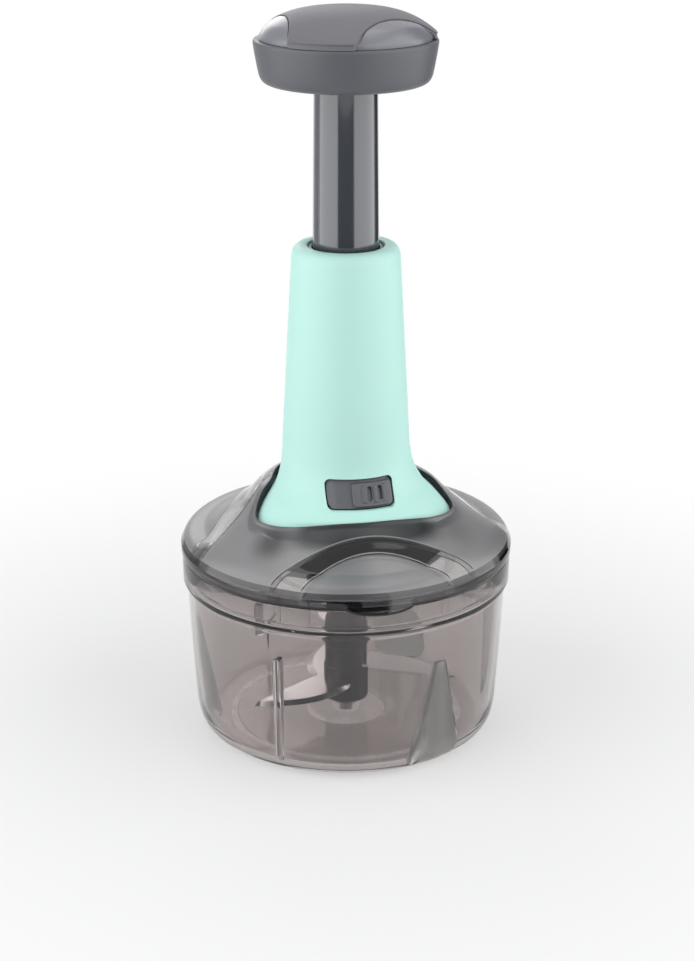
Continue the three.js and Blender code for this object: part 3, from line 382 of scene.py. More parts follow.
# Pivot pin. A turned steel pin pressed into the bowl's boss, which the blade set turns on. Its
# chamfered tip finds the hub's bore.
def lined_steel(name, shade, drawn_out, line_width, detail, roughness, depth, strength):
    """Steel with the lines of a tool, which a mapping draws out along one way."""
    steel, tree = blank_material(name)
    place = add(tree, "TexCoord", {}).outputs["Object"]
    along = add(tree, "Mapping", {"Vector": place, **drawn_out})
    lines = add(tree, "TexNoise", {"Vector": along, "Scale": 1 / line_width, "Detail": detail})
    rough = add(tree, "MapRange", {"Value": lines, "To Min": roughness[0], "To Max": roughness[1]})
    groove = add(tree, "Bump", {"Height": lines, "Distance": depth, "Strength": strength})
    metal = add(tree, "BsdfPrincipled", {
        "Base Color": hex_colour(shade), "Metallic": 1, "Roughness": rough, "Normal": groove})
    add(tree, "OutputMaterial", {"Surface": metal})
    return steel


# Plain carbon steel from the lathe: grey and half bright, with rings round it. The rings are
# drawn coarser than the real 0.1 mm feed, so that they show.
turned_steel = lined_steel("turned_steel", "C6C7C9", drawn_out={"Scale": (1, 1, 9)}, line_width=2.4 * mm,
                           detail=4, roughness=(0.24, 0.42), depth=0.04 * mm, strength=0.5)

pin_section = [(0, 1.9), (2.5, 1.9, 0.3), (2.5, 36.8, 0.3), (1.3, 38, 0.3), (0, 38)]
moulding("pin_turned", spun(pin_section, steps=48), turned_steel, "bowl_body", "plain_steel", "pivot_pin")


# Blade hub. A stem with a waist, moulded in dark plastic round the roots of the three blades. It
# is bored for the pin, and keyed by a six-sided socket at its top.
grain_depth = 0.03 * mm


def moulded(name, shades, cloud_size, roughness, ior, cloud_detail=2, grain=None, more=None):
    """A moulded material that drifts between two shades. Its roughness drifts too, or follows the
    grain of the mould, which has a size, a harshness and a strength."""
    made, tree = blank_material(name)
    place = add(tree, "TexCoord", {}).outputs["Object"]
    cloud = add(tree, "TexNoise", {"Vector": place, "Scale": 1 / cloud_size, "Detail": cloud_detail})
    tone = add(tree, "Mix", {0: cloud, 6: hex_colour(shades[0]), 7: hex_colour(shades[1])}, data_type="RGBA")
    sockets = {"Base Color": tone, "IOR": ior, **(more or {})}
    uneven = cloud
    if grain:
        size, harshness, strength = grain
        uneven = add(tree, "TexNoise", {
            "Vector": place, "Scale": 1 / size, "Detail": 3, "Roughness": harshness})
        sockets["Normal"] = add(tree, "Bump", {
            "Height": uneven, "Distance": grain_depth, "Strength": strength})
    low, high = roughness
    sockets["Roughness"] = add(tree, "MapRange", {"Value": uneven, "To Min": low, "To Max": high})
    add(tree, "OutputMaterial", {"Surface": add(tree, "BsdfPrincipled", sockets)})
    return made


# Acrylonitrile butadiene styrene from a polished mould, for the pieces inside the bowl: nearly
# black, with a half gloss that is a little uneven
dark_plain = moulded("dark_grey_abs_plain", ("2B2C32", "33343A"), cloud_size=9 * mm, roughness=(0.3, 0.45),
                     ior=1.52, cloud_detail=3)

pin_bore, bore_top = 2.9, 38.4
drive_depth = 16


def six_sided(low_radius, high_radius, foot):
    """The six-sided form of the drive, standing on a height."""
    form = bmesh.new()
    bmesh.ops.create_cone(form, cap_ends=True, segments=6, radius1=low_radius * mm, radius2=high_radius * mm,
                          depth=drive_depth * mm)
    bmesh.ops.translate(form, vec=(0, 0, (foot + drive_depth / 2) * mm), verts=form.verts)
    return form


hub_section = [
    (0, bore_top), (pin_bore, bore_top), (pin_bore, 7.6, 0.2), (8.9, 7.6, 0.8), (8.9, 21.9, 0.15),
    (8.4, 22.4, 0.15), (8.4, 31.2, 0.15), (8.9, 31.7, 0.15), (8.9, 57.7, 0.5), (0, 57.7),
]
socket = six_sided(low_radius=5.3, high_radius=5.3, foot=43.4)
bm = combined(spun(hub_section, steps=72), socket, "DIFFERENCE")
moulding("hub_moulded", bm, dark_plain, "blade_body", "dark_grey", "blade_hub")

# Blades. Three curved blades stamped from stainless sheet and ground along their leading edge,
# fixed in the hub at three heights, a third of a turn apart.
blade_steps = 28
blade_reach, blade_sweep, blade_thick = 44, 14, 1.2
root_reach, root_half = 9.2, 7.8
tang = [(8.6, 5.0), (4.6, 5.0)]
# Where the back and the leading edge are drawn to, as shares of the reach and the sweep
back_pull_shares, front_pull_shares = (0.68, -0.9), (0.7, 0.72)
grind_width, tip_grind, grind_fade_steps = 2.6, 1.4, 4


def curve_points(start, pull_shares, end):
    """Points of a curve from start to end, drawn towards a pull point."""
    pull = (blade_reach * pull_shares[0], blade_sweep * pull_shares[1])
    a, p, b = (Vector((*point, 0)) for point in (start, pull, end))
    points = interpolate_bezier(a, a.lerp(p, 2 / 3), b.lerp(p, 2 / 3), b, blade_steps)
    return [(point.x, point.y) for point in points]


def ground_blade(turn, low):
    """One blade: its outline drawn up, then the leading edge of the top ground back."""
    tip = (blade_reach, -blade_sweep)
    back = curve_points((root_reach, -root_half), back_pull_shares, tip)
    front = curve_points(tip, front_pull_shares, (root_reach, root_half))
    outline = [(x, -y) for x, y in reversed(tang)] + back + front[1:] + tang
    bm = bmesh.new()
    face = bm.faces.new([bm.verts.new((x * mm, y * mm, low * mm)) for x, y in outline])
    drawn = bmesh.ops.extrude_face_region(bm, geom=[face])["geom"]
    top = [item for item in drawn if isinstance(item, bmesh.types.BMVert)]
    bmesh.ops.translate(bm, vec=(0, 0, blade_thick * mm), verts=top)
    last = len(front) - 1
    top[len(tang) + len(back) - 1].co.x -= tip_grind * mm
    for along in range(1, last + 1):
        before, after = front[along - 1], front[min(along + 1, last)]
        run = Vector((after[0] - before[0], after[1] - before[1])).normalized()
        share = min(1, (last - along) / grind_fade_steps)
        vert = top[len(tang) + len(back) - 1 + along]
        vert.co += Vector((-run.y, run.x, 0)) * grind_width * share * mm
    bmesh.ops.recalc_face_normals(bm, faces=bm.faces)
    swing(bm, bm.verts, turn - 90)
    return bm


for name, turn, low in (("top", 76, 22.2), ("middle", -44, 16.6), ("bottom", -164, 11.0)):
    # Stainless spring steel, brushed along the blade: bright, with fine lines that are drawn at
    # 0.5 mm, because the real ones are too fine to show
    drawn_out = {"Rotation": (0, 0, -radians(turn - 90)), "Scale": (0.06, 1, 1)}
    brushed = lined_steel("brushed_stainless_" + name, "E6E7E8", drawn_out=drawn_out, line_width=0.5 * mm,
                          detail=3, roughness=(0.12, 0.26), depth=0.02 * mm, strength=0.35)
    moulding("blade_ground_" + name, ground_blade(turn, low), brushed, "blade_body", "blade_steel",
             "blade_" + name, crease=12)

# Clutch cup and coupler. Under the lid a cup moulded in dark plastic holds the one-way clutch, and
# the coupler's six-sided tip reaches down from it into the hub.
cup_section = [
    (7.0, 72, 0.2), (15, 72, 1.2), (15, 86.3, 0.5), (24, 86.3, 0.4), (24, 88.5, 0.4), (13, 88.5, 0.3),
    (13, 74, 0.4), (7.0, 74, 0.2),
]
bm = spun(cup_section, steps=72, closed=True)
moulding("clutch_cup_moulded", bm, dark_plain, "head_body", "dark_grey", "clutch_cup")

coupler_section = [
    (0, 57.9), (8.9, 57.9, 0.5), (8.9, 71.6, 0.5), (6.6, 71.6, 0.2), (6.6, 76.2, 0.2), (5.0, 76.2, 0.2),
    (5.0, 79.9, 0.4), (0, 79.9),
]
tip = six_sided(low_radius=4.5, high_radius=4.9, foot=43.8)
bm = combined(spun(coupler_section, steps=72), tip, "UNION")
moulding("coupler_moulded", bm, dark_plain, "output_body", "dark_grey", "drive_coupler")


# Lid. One moulding in smoke-tinted acrylic: a shallow dome with three scoops for the fingers, a
# raised lip round the handle's foot, a rim with a thumb tab, and a skirt with three lugs that
# fits inside the bowl.
def smooth_line(points, at):
    """The height of a smooth line through points of (reach, height), at a reach."""
    slopes = []
    for i in range(len(points)):
        a, b = points[max(i - 1, 0)], points[min(i + 1, len(points) - 1)]
        slopes.append((b[1] - a[1]) / (b[0] - a[0]))
    at = min(max(at, points[0][0]), points[-1][0])
    i = max(k for k in range(len(points) - 1) if points[k][0] <= at)
    (x0, y0), (x1, y1) = points[i], points[i + 1]
    run = x1 - x0
    t = (at - x0) / run
    return (y0 * (1 + 2 * t) * (1 - t) ** 2 + slopes[i] * run * t * (1 - t) ** 2
            + y1 * t * t * (3 - 2 * t) + slopes[i + 1] * run * t * t * (t - 1))


def eased(value):
    """A share from 0 to 1 with a soft start and end."""
    value = min(max(value, 0), 1)
    return value * value * (3 - 2 * value)


lid_radius = 65
# The turn of a scoop's middle, then the reach there and the half turn at the rim of its slope's
# top and of its foot
scoops = ((0, (43.5, 38), (47.8, 27)), (120, (28.5, 49.5), (44, 40)), (-120, (28.5, 49.5), (44, 40)))


def arc_circle(turn, apex, half_turn):
    """Centre and radius of the arc that comes in from the rim to an apex and goes back to the rim."""
    end_x, end_y = lid_radius * sin(radians(half_turn)), lid_radius * cos(radians(half_turn))
    rise = end_y - apex
    radius = (end_x ** 2 + rise ** 2) / (2 * rise)
    return Vector(((apex + radius) * sin(radians(turn)), -(apex + radius) * cos(radians(turn)), 0)), radius


# Acrylic tinted as dark smoke. The mould gives the dome a fine satin face that spreads the light,
# and leaves the slope of each scoop and the rim polished, with a fine groove along each slope that
# carries a painted dark line of shade, with a painted highlight line beside it. Cut edges take a
# painted shade, nearly black, and the thin skirt is as clear as the bowl. Painted shade makes the wall
# darkest in front, where the pocket for the handle and the clutch lie behind it, and darkens it by
# the foot's front corners and where the slopes meet the rim. The satin's grain is drawn at 0.5 mm, as
# the real one is too fine to show.
groove_near, groove_far = 0.16, 0.32
glint_near, glint_far, glint_out = 0.12, 0.26, 0.5
slope_fade, clutch_fade, rim_fade = 0.2, 0.15, 0.2
rim_from, under_rim, skirt_top = 63.7, 63.3, 72.5
# The oval of painted shade in front of the handle's foot, over its pocket: where it lies, its half widths,
# and where it fades
pocket_ahead, pocket_across, pocket_deep = 37, 31, 11
pocket_near_share, pocket_far_share = 0.7, 1.05
# Painted shade by each front corner of the handle's foot: where it lies, and where it fades
corner_across, corner_ahead, corner_near, corner_far = 35, 33.5, 1, 11
# The two straight sides of the painted shade on the front scoop's slope, along the clutch behind it:
# which way each faces, and how far off
clutch_shade_sides = ((0.371, 0.927, -57.2), (-0.526, 0.851, -54.2))
satin_grain, satin_depth, groove_depth = 0.5 * mm, 0.03 * mm, 0.15 * mm
smoke_tinted, tree = blank_material("dark_smoke_acrylic")
place, flat, reach = place_in_tree(tree)
height = add(tree, "SeparateXYZ", {0: place}).outputs["Z"]
plain = add(tree, "Attribute", {}, attribute_name="plain").outputs["Fac"]
# The share of painted near-black shade on the cut edges, carried on the mesh
edge = add(tree, "Attribute", {}, attribute_name="edge").outputs["Fac"]
slopes, grooves_with_painted_shade, glints, corners = [], [], [], []
for turn, *arcs in scoops:
    depths = []
    for arc in arcs:
        centre, radius = arc_circle(turn, *arc)
        gap = add(tree, "VectorMath", {0: flat, 1: centre}, operation="DISTANCE")
        depth = add(tree, "Math", {0: radius, 1: gap}, operation="SUBTRACT")
        # Along each arc a groove with a painted dark line of shade, and a painted highlight line just outside
        # it
        off = add(tree, "Math", {0: depth}, operation="ABSOLUTE")
        grooves_with_painted_shade.append(add(tree, "MapRange", {0: off, 1: groove_near, 2: groove_far, 3: 1, 4: 0}, **soft))
        off = add(tree, "Math", {0: depth, 1: glint_out}, operation="ADD")
        off = add(tree, "Math", {0: off}, operation="ABSOLUTE")
        glints.append(add(tree, "MapRange", {0: off, 1: glint_near, 2: glint_far, 3: 1, 4: 0}, **soft))
        depths.append(depth)
    below_top = add(tree, "MapRange", {0: depths[0], 1: 0, 2: slope_fade}, **soft)
    above_foot = add(tree, "MapRange", {0: depths[1], 1: 0, 2: slope_fade, 3: 1, 4: 0}, **soft)
    slopes.append(add(tree, "Math", {0: below_top, 1: above_foot}, operation="MULTIPLY"))
# A soft spot of painted shade by each front corner of the handle's foot, darker on the left
for side, darkness in ((-1, 0.85), (1, 0.25)):
    corner = (side * corner_across, -corner_ahead, 0)
    gap = add(tree, "VectorMath", {0: flat, 1: corner}, operation="DISTANCE")
    corners.append(add(tree, "MapRange", {0: gap, 1: corner_near, 2: corner_far, 3: darkness, 4: 0}, **soft))
front_slope = slopes[0]
for shares in (slopes, grooves_with_painted_shade, glints, corners):
    while len(shares) > 1:
        shares[:2] = [add(tree, "Math", {0: shares[0], 1: shares[1]}, operation="MAXIMUM")]
rim = add(tree, "MapRange", {0: reach, 1: rim_from, 2: rim_from + rim_fade}, **soft)
inward = add(tree, "MapRange", {0: reach, 1: under_rim, 2: under_rim + rim_fade, 3: 1, 4: 0}, **soft)
skirt_end = (skirt_top + rim_fade) * mm
skirt = add(tree, "MapRange", {0: height, 1: skirt_top * mm, 2: skirt_end, 3: 1, 4: 0}, **soft)
polished = add(tree, "Math", {0: slopes[0], 1: rim}, operation="MAXIMUM")
shine = add(tree, "Math", {0: polished, 1: plain}, operation="MAXIMUM")
satin_face = add(tree, "Math", {0: 1, 1: shine}, operation="SUBTRACT")
on_dome = add(tree, "Math", {0: 1, 1: plain}, operation="SUBTRACT")
# Painted shade on the satin wall, in an oval in front of the handle's foot
from_pocket = add(tree, "VectorMath", {0: flat, 1: (1 / pocket_across, 1 / pocket_deep, 0),
                                       2: (0, pocket_ahead / pocket_deep, 0)}, operation="MULTIPLY_ADD")
out = add(tree, "VectorMath", {0: from_pocket}, operation="LENGTH")
pocket_shade_share = add(tree, "MapRange", {0: out, 1: pocket_near_share, 2: pocket_far_share, 3: 1, 4: 0}, **soft)
# Painted shade on the front scoop's slope, between the two sides of the clutch that lies behind it
clutch_painted_shade = front_slope
for across, ahead, off in clutch_shade_sides:
    along = add(tree, "VectorMath", {0: flat, 1: (across, ahead, 0)}, operation="DOT_PRODUCT")
    share = add(tree, "MapRange", {0: along, 1: off - clutch_fade, 2: off + clutch_fade}, **soft)
    clutch_painted_shade = add(tree, "Math", {0: clutch_painted_shade, 1: share}, operation="MULTIPLY")
# The grooves' painted shade and the painted highlight lines stop inside the rim, the painted shades in front
# keep off the polished faces, and painted shade falls where the slopes meet the rim
groove, glint, pocket_painted_shade, corner_painted_shade, rim_on_slope = (
    add(tree, "Math", {0: first, 1: last}, operation="MULTIPLY")
    for first, last in ((grooves_with_painted_shade[0], inward), (glints[0], inward), (pocket_shade_share, satin_face),
                        (corners[0], satin_face), (slopes[0], rim)))
glint = add(tree, "Math", {0: glint, 1: on_dome}, operation="MULTIPLY")
tone = hex_colour("A9A9AB")
# The lid's own tone, then in turn: the lighter slopes, the painted shades in front of the handle's foot and
# by its corners, the darker rim, painted shade where the slopes meet the rim and over the clutch, the
# grooves' painted dark lines, the painted highlight lines, the clear skirt, and the painted near-black shade
# of the cut edges
for share, shade in (
        (slopes[0], "CCCCCC"), (pocket_painted_shade, "1E2A2C"), (corner_painted_shade, "4A4A4E"), (rim, "4A4A4E"),
        (rim_on_slope, "2C2C30"), (clutch_painted_shade, "17171B"), (groove, "2A2A2E"), (glint, "BEBEBE"),
        (skirt, "FFFFFF"), (edge, "0C0C0E")):
    tone = add(tree, "Mix", {0: share, 6: tone, 7: hex_colour(shade)}, data_type="RGBA")
spark = add(tree, "TexNoise", {"Vector": place, "Scale": 1 / satin_grain, "Detail": 3, "Roughness": 0.6})
satin = add(tree, "MapRange", {"Value": spark, "To Min": 0.24, "To Max": 0.36})
rough = add(tree, "Mix", {0: shine, 2: satin, 3: 0.04})
through = add(tree, "MapRange", {"Value": shine, "To Min": 0.68, "To Max": 0.97})
through = add(tree, "Mix", {0: glint, 2: through, 3: 0.55})
matt = add(tree, "MapRange", {"Value": shine, "To Min": 0.35, "To Max": 0})
pits = add(tree, "Bump", {"Height": spark, "Distance": satin_depth, "Strength": matt})
lines = add(tree, "Bump", {"Height": groove, "Distance": groove_depth, "Normal": pits}, invert=True)
clear = add(tree, "BsdfPrincipled", {
    "Base Color": tone, "Roughness": rough, "IOR": 1.49, "Transmission Weight": through, "Normal": lines})
finish_clear(tree, clear, "8C8C8E")

dome_line = [(28, 101.9), (34, 100), (40, 95), (48, 90), (56, 85.5), (59, 83.8), (62, 81.5), (63.57, 79.55),
             (lid_radius, 76.4)]
foot_flat, foot_back, foot_lobe = 37.7, 28, 42
scoop_drop, scoop_fade = 2.5, 9
side_drop, side_drop_reach, side_drop_run = 1.8, 54.5, 6.5


def faces_front(turn):
    """True on the foot's front side."""
    return cos(radians(turn)) > 0.5


def foot_side(turn):
    """The foot's reach in the middle of the side at a turn: far in front, near at the two back sides."""
    return foot_flat if faces_front(turn) else foot_back


def corner_share(turn, power):
    """How far a turn is on the way from the middle of a side to a corner."""
    return abs(sin(radians(turn * 3 / 2))) ** power


def foot_reach(turn, gap=0.0, corner_gap=0.0):
    """How far the handle's foot reaches at a turn, and a gap: three round corners and long shallow sides."""
    side, lobe = foot_side(turn) + gap, foot_lobe + corner_gap
    return side + (lobe - side) * corner_share(turn, 3 if faces_front(turn) else 6)


def lid_height(reach, turn):
    """The dome's height at a reach and turn, less the scoop there: its slope is half straight, half eased."""
    middle, *arcs = min(scoops, key=lambda scoop: abs((turn - scoop[0] + 180) % 360 - 180))
    point = Vector((reach * sin(radians(turn)), -reach * cos(radians(turn)), 0))
    circles = [arc_circle(middle, *arc) for arc in arcs]
    top, foot = (radius - (point - centre).length for centre, radius in circles)
    share = top / (top - foot) if top > 0 else 0
    share = 1 if foot >= 0 else 0.5 * share + 0.5 * eased(share)
    drop = scoop_drop * max(min(1, (lid_radius - reach) / scoop_fade), 0)
    if middle:
        drop += side_drop * exp(-((reach - side_drop_reach) / side_drop_run) ** 2)
    return smooth_line(dome_line, reach) - share * drop


lid_bore, recess_floor, recess_under = 13.2, 91, 88.8
lip_reach, lip_gap, lip_corner_gap = 40.4, 0.4, 0.8
dome_wall, rim_extra, rim_extra_from, rim_extra_run = 2.6, 1.4, 58, 4.8
# The section is drawn for a round foot, and each ring near it is then pulled to the foot's form
pull_full, pull_fade, pull_run = 40, 43, 18
tab_half_turn, tab_fullness = 11.5, 0.6
ring_step = 0.4
outer_rings = [41.9 + ring_step * i for i in range(int(22 / ring_step))]
outer_rings += [63.9, 64.2, 64.5, 64.75, 64.9, lid_radius]
inner_rings = [62.8, 62.2, 61.4, 60.2, 58.6] + [57 - 1.2 * i for i in range(12)]
# Reach and height round the whole section, then 1 where the height counts from the dome, the share
# of painted near-black shade on a cut edge, and how far the thumb tab brings the point out and down
lid_section = [(lid_bore, recess_floor), (28, recess_floor), (37, recess_floor),
               (lip_reach, recess_floor, 0, 0.6), (lip_reach, -0.6, 1, 1), (40.45, 0.1, 1, 1),
               (40.7, 0.45, 1, 0.6), (41.1, 0.5, 1), (41.45, 0.4, 1), (41.65, 0.1, 1)]
lid_section += [(reach, 0, 1) for reach in outer_rings]
lid_section += [(lid_radius, 74.9, 0, 0, 0.4, 0.4), (lid_radius, 74.1, 0, 0, 1.2, 1.9),
                (lid_radius, 73.85, 0, 1, 1.5, 2.45), (64.9, 73.1, 0, 1, 1.5, 2.3),
                (64.86, 72.95, 0, 1, 0.9, 2.5), (64.84, 72.93, 0, 1, 0.1, 2.3), (64.82, 72.9, 0, 1),
                (64.5, 72.9, 0, 1)]
lid_section += [(62.1, 72.9), (62.1, 64.6), (61.7, 64.2), (60.4, 64.2), (60.0, 64.6), (60.0, 74),
                (60.6, 75.4), (62.0, 76.2)]
lid_section += [(reach, -dome_wall - rim_extra * eased((reach - rim_extra_from) / rim_extra_run), 1)
                for reach in inner_rings]
lid_section += [(42.9, recess_under), (37, recess_under), (28, recess_under), (lid_bore, recess_under)]

names = ("on_dome", "edge", "tab_out", "tab_down")
bm = turned_round(section_wire(lid_section, names)[0], steps=360)
on_dome, edge, tab_out, tab_down = (bm.verts.layers.float[name] for name in names)
plain = bm.verts.layers.float.new("plain")
for vert in bm.verts:
    reach = hypot(vert.co.x, vert.co.y) / mm
    turn = degrees(atan2(vert.co.x, -vert.co.y))
    near_foot = min((reach - lid_bore) / (pull_full - lid_bore), 1)
    near_foot *= 1 - eased((reach - pull_fade) / pull_run)
    tab = max(1 - (turn / tab_half_turn) ** 2, 0) ** tab_fullness
    moved = reach + (foot_reach(turn, lip_gap, lip_corner_gap) - lip_reach) * near_foot + tab * vert[tab_out]
    height = vert.co.z / mm - tab * vert[tab_down]
    if vert[on_dome] > 0.5:
        height += lid_height(moved, turn)
    vert[plain] = 1 - vert[on_dome]
    vert.co = (moved * sin(radians(turn)) * mm, -moved * cos(radians(turn)) * mm, height * mm)
lug_size, lug_middle, lug_turns = (2.5, 2.2, 12), (0, -59.2, 62.9), (-44, 76, -164)
for turn in lug_turns:
    lug = add_block(bm, lug_size, lug_middle)
    swing(bm, lug, turn)
    # The lugs are polished, with half of the cut edges' painted shade
    for vert in lug:
        vert[plain], vert[edge] = 1, 0.5
moulding("lid_dome", bm, smoke_tinted, "head_body", "lid_smoke", "lid")

# Handle housing. A mint moulding in one piece from the three-cornered foot up to the mouth,
# screwed to the lid from below, with a window in its front for the lock.

# Acrylonitrile butadiene styrene in mint, from a spark-eroded mould: a dull satin that softens the
# highlights, with a grain that is drawn at 0.55 mm, as the real one is too fine to show
mint_abs = moulded("mint_abs_spark_textured", ("BCEBE1", "C1EEE5"), cloud_size=40 * mm,
                   roughness=(0.42, 0.55), ior=1.52, grain=(0.55 * mm, 0.6, 0.4),
                   more={"Subsurface Weight": 0.08, "Subsurface Scale": 1.5 * mm})

foot_bottom, column_foot, column_height = 91.3, 119, 70
column_radius, column_taper = 24.6, 3.9
flare_steps, column_steps = 44, 10
housing_wall = 2.4
# The flare's form up a side and up a corner, as shares of its height and of how far it stands out
side_shares = [(0, 1), (0.076, 1), (0.177, 1), (0.271, 0.718), (0.365, 0.489), (0.458, 0.313),
               (0.567, 0.183), (0.69, 0.092), (0.82, 0.038), (1, 0)]
lobe_shares = [(0, 1), (0.076, 0.9), (0.177, 0.74), (0.271, 0.58), (0.365, 0.386), (0.458, 0.267),
               (0.567, 0.15), (0.69, 0.077), (0.82, 0.032), (1, 0)]


def housing_reach(height, turn, wall):
    """The housing's reach at a height and turn, less a wall."""
    rise = (height - foot_bottom) / (column_foot - foot_bottom)
    side = column_radius + smooth_line(side_shares, rise) * (foot_side(turn) - column_radius)
    lobe = column_radius + smooth_line(lobe_shares, rise) * (foot_lobe - column_radius)
    return min(side + (lobe - side) * corner_share(turn, 3), foot_reach(turn)) - wall


flare = [foot_bottom + (column_foot - foot_bottom) * i / flare_steps for i in range(flare_steps + 1)]
# Reach and height, then 1 where the reach follows the flare, and the wall that is taken off it
housing_section = [(1, height, 1) for height in flare]
for i in range(1, column_steps + 1):
    share = i / column_steps
    housing_section.append((column_radius - column_taper * share, column_foot + column_height * share))
housing_section += [(20.6, 190.3), (20.4, 191.4), (20.0, 192.5), (19.4, 193.4), (18.6, 194.0), (17.8, 194.25),
                    (16.9, 194.3), (15.4, 194.3), (14.75, 194.1), (14.45, 193.6), (14.4, 193.0)]
housing_section += [(14.4, 188.3), (15.0, 188.3), (18.6, 188.3), (22.2, 119.2)]
housing_section += [(0.5, height, 1, housing_wall) for height in reversed(flare[::4])]
names = ("follows_flare", "wall")
bm = turned_round(section_wire(housing_section, names)[0], steps=240)
follows_flare, wall = (bm.verts.layers.float[name] for name in names)
for vert in bm.verts:
    if vert[follows_flare] > 0.5:
        turn = atan2(vert.co.x, -vert.co.y)
        reach = housing_reach(vert.co.z / mm, degrees(turn), vert[wall]) * mm
        vert.co.x, vert.co.y = reach * sin(turn), -reach * cos(turn)
front_form = BVHTree.FromBMesh(bm)


def rounded_block(x_range, y_range, z_range, corner, segments):
    """A block between places in millimetres, with its edges along Y rounded."""
    bm = bmesh.new()
    ranges = (x_range, y_range, z_range)
    add_block(bm, [high - low for low, high in ranges], [(low + high) / 2 for low, high in ranges])
    along_y = [edge for edge in bm.edges if abs(edge.verts[0].co.y - edge.verts[1].co.y) > same_place]
    rounded(bm, along_y, corner, segments)
    return bm


window = rounded_block((-13.1, 13.1), (-50, -10), (99.2, 109.6), corner=2.2, segments=6)
bm = combined(bm, window, "DIFFERENCE")
moulding("housing_shell", bm, mint_abs, "head_body", "mint", "handle_housing", crease=40)

# Lock track. A dark moulded tray, fixed behind the window. It follows the housing's front and
# stands a little below it, so that a fine shadow runs round the window.

# Acrylonitrile butadiene styrene in dark grey, from a spark-eroded mould: a satin with a grain
# that is drawn at 0.5 mm, as the real one is too fine to show
dark_satin = moulded("dark_grey_abs_satin", ("53545A", "5B5C62"), cloud_size=30 * mm, roughness=(0.38, 0.5),
                     ior=1.52, grain=(0.5 * mm, 0.6, 0.5))


long_edge, well_ahead = 2, 80


def flat_block(x_range, z_range, front, back, corner, edge=0):
    """A block in front view, with round corners and soft front edges, at depths from the front form."""
    bm = rounded_block(x_range, (front, back), z_range, corner, 5)
    if edge:
        round_front = [e for e in bm.edges if all(abs(v.co.y - front * mm) < same_place for v in e.verts)]
        rounded(bm, round_front, edge, 3)
    return bm


def laid_on_front(bm, cuts):
    """Splits a flat block finely and lays it on the housing's front, keeping its depths."""
    long_edges = [edge for edge in bm.edges if abs(edge.verts[0].co.x - edge.verts[1].co.x) > long_edge * mm]
    bmesh.ops.subdivide_edges(bm, edges=long_edges, cuts=cuts, use_grid_fill=True)
    for vert in bm.verts:
        start = Vector((vert.co.x, -well_ahead * mm, vert.co.z))
        hit = front_form.ray_cast(start, Vector((0, 1, 0)))[0]
        vert.co.y += hit.y
    bmesh.ops.recalc_face_normals(bm, faces=bm.faces)
    return bm


tray = flat_block((-12.5, 12.5), (99.8, 109.1), front=1.4, back=2.9, corner=2.0)
moulding("lock_tray", laid_on_front(tray, cuts=24), dark_satin, "head_body", "dark_grey", "lock_track")

# Lock slider. A dark moulded button that slides round the housing's front in the tray, with
# three ribs for the thumb and two slots between them.
bm = flat_block((-3.4, 12.3), (100.7, 108.1), front=-0.8, back=1.35, corner=1.2, edge=0.55)
for place in ((2.4, 4.2), (6.6, 8.1)):
    slot = flat_block(place, (102.2, 107.0), front=-2, back=0.95, corner=0.7)
    bm = combined(bm, slot, "DIFFERENCE")
for place in ((0, 2.1), (4.7, 6.3), (8.4, 9.8)):
    rib = flat_block(place, (101.9, 107.3), front=-1.35, back=0.5, corner=0.3, edge=0.5)
    bm = combined(bm, rib, "UNION")
moulding("lock_button", laid_on_front(bm, cuts=10), dark_satin, "lock_body", "dark_grey", "lock_slider")

# Mouth bush. A ring moulded in dark plastic and pressed into the housing's mouth, which the
# plunger slides through.
bush_section = [
    (12.9, 189.5, 0.2), (16, 189.5, 0.2), (16, 191.0, 0.2), (14.1, 191.0), (14.1, 193.4, 0.3),
    (12.9, 193.4, 0.3),
]
bm = spun(bush_section, steps=96, closed=True)
moulding("mouth_ring", bm, dark_plain, "head_body", "dark_grey", "mouth_bush")

# Plunger tube. A dark grey tube moulded with a high polish, slightly tapered upwards, with a key
# at its foot that keeps it from turning.

# Acrylonitrile butadiene styrene from a mirror-polished mould, so that the soft boxes and cards
# show in it as straight bands
polished_grey = moulded("dark_grey_abs_polished", ("3E4149", "43454D"), cloud_size=12 * mm,
                        roughness=(0.12, 0.18), ior=1.52, more={"Coat Weight": 1, "Coat Roughness": 0.06})

tube_section = [
    (10.7, 150, 0.3), (12.5, 150, 0.4), (12.5, 200), (11.8, 260.8), (11.0, 262, 0.3), (3, 262, 0.3),
    (3, 258, 0.3), (10.0, 258, 0.3), (10.7, 200),
]
key = rounded_block((-3, 3), (-19, -11.6), (150.05, 159.35), corner=0.4, segments=3)
bm = combined(spun(tube_section, steps=128, closed=True), key, "UNION")
moulding("plunger_polished", bm, polished_grey, "plunger_body", "gloss_grey", "plunger_tube")

# Knob cup. The knob's underside, moulded in the same satin plastic as the lock, turned round and
# drawn in to a flat seat that the plunger is screwed to.
knob_cup_section = [
    (14.4, 254.2), (29.3, 254.3, 1.6), (31.5, 256.2, 2), (32.4, 260.5), (33.3, 265.5), (33.85, 269.3, 0.3),
    (33.7, 270.2, 0.4), (31.4, 270.2, 0.3), (30.6, 266.0), (29.6, 259.6, 1.5), (27, 257.4, 1.5), (15, 256.6),
    (15, 257.6), (12.2, 257.6), (12.2, 252.2, 0.2), (14.4, 252.2, 0.2),
]
bm = spun(knob_cup_section, steps=128, closed=True)
moulding("knob_cup_satin", bm, dark_satin, "plunger_body", "dark_grey", "knob_cup", crease=28)

# Knob cap. A polished moulded dome that closes the cup. The soft pad covers it but for three
# windows, where it comes up nearly flush with the pad.
knob_turn = -27.8
knob_rim_height, knob_rise, knob_fullness = 272.5, 9, 3.2
pad_radius, window_apex, window_arc = 33.3, 22.3, 55


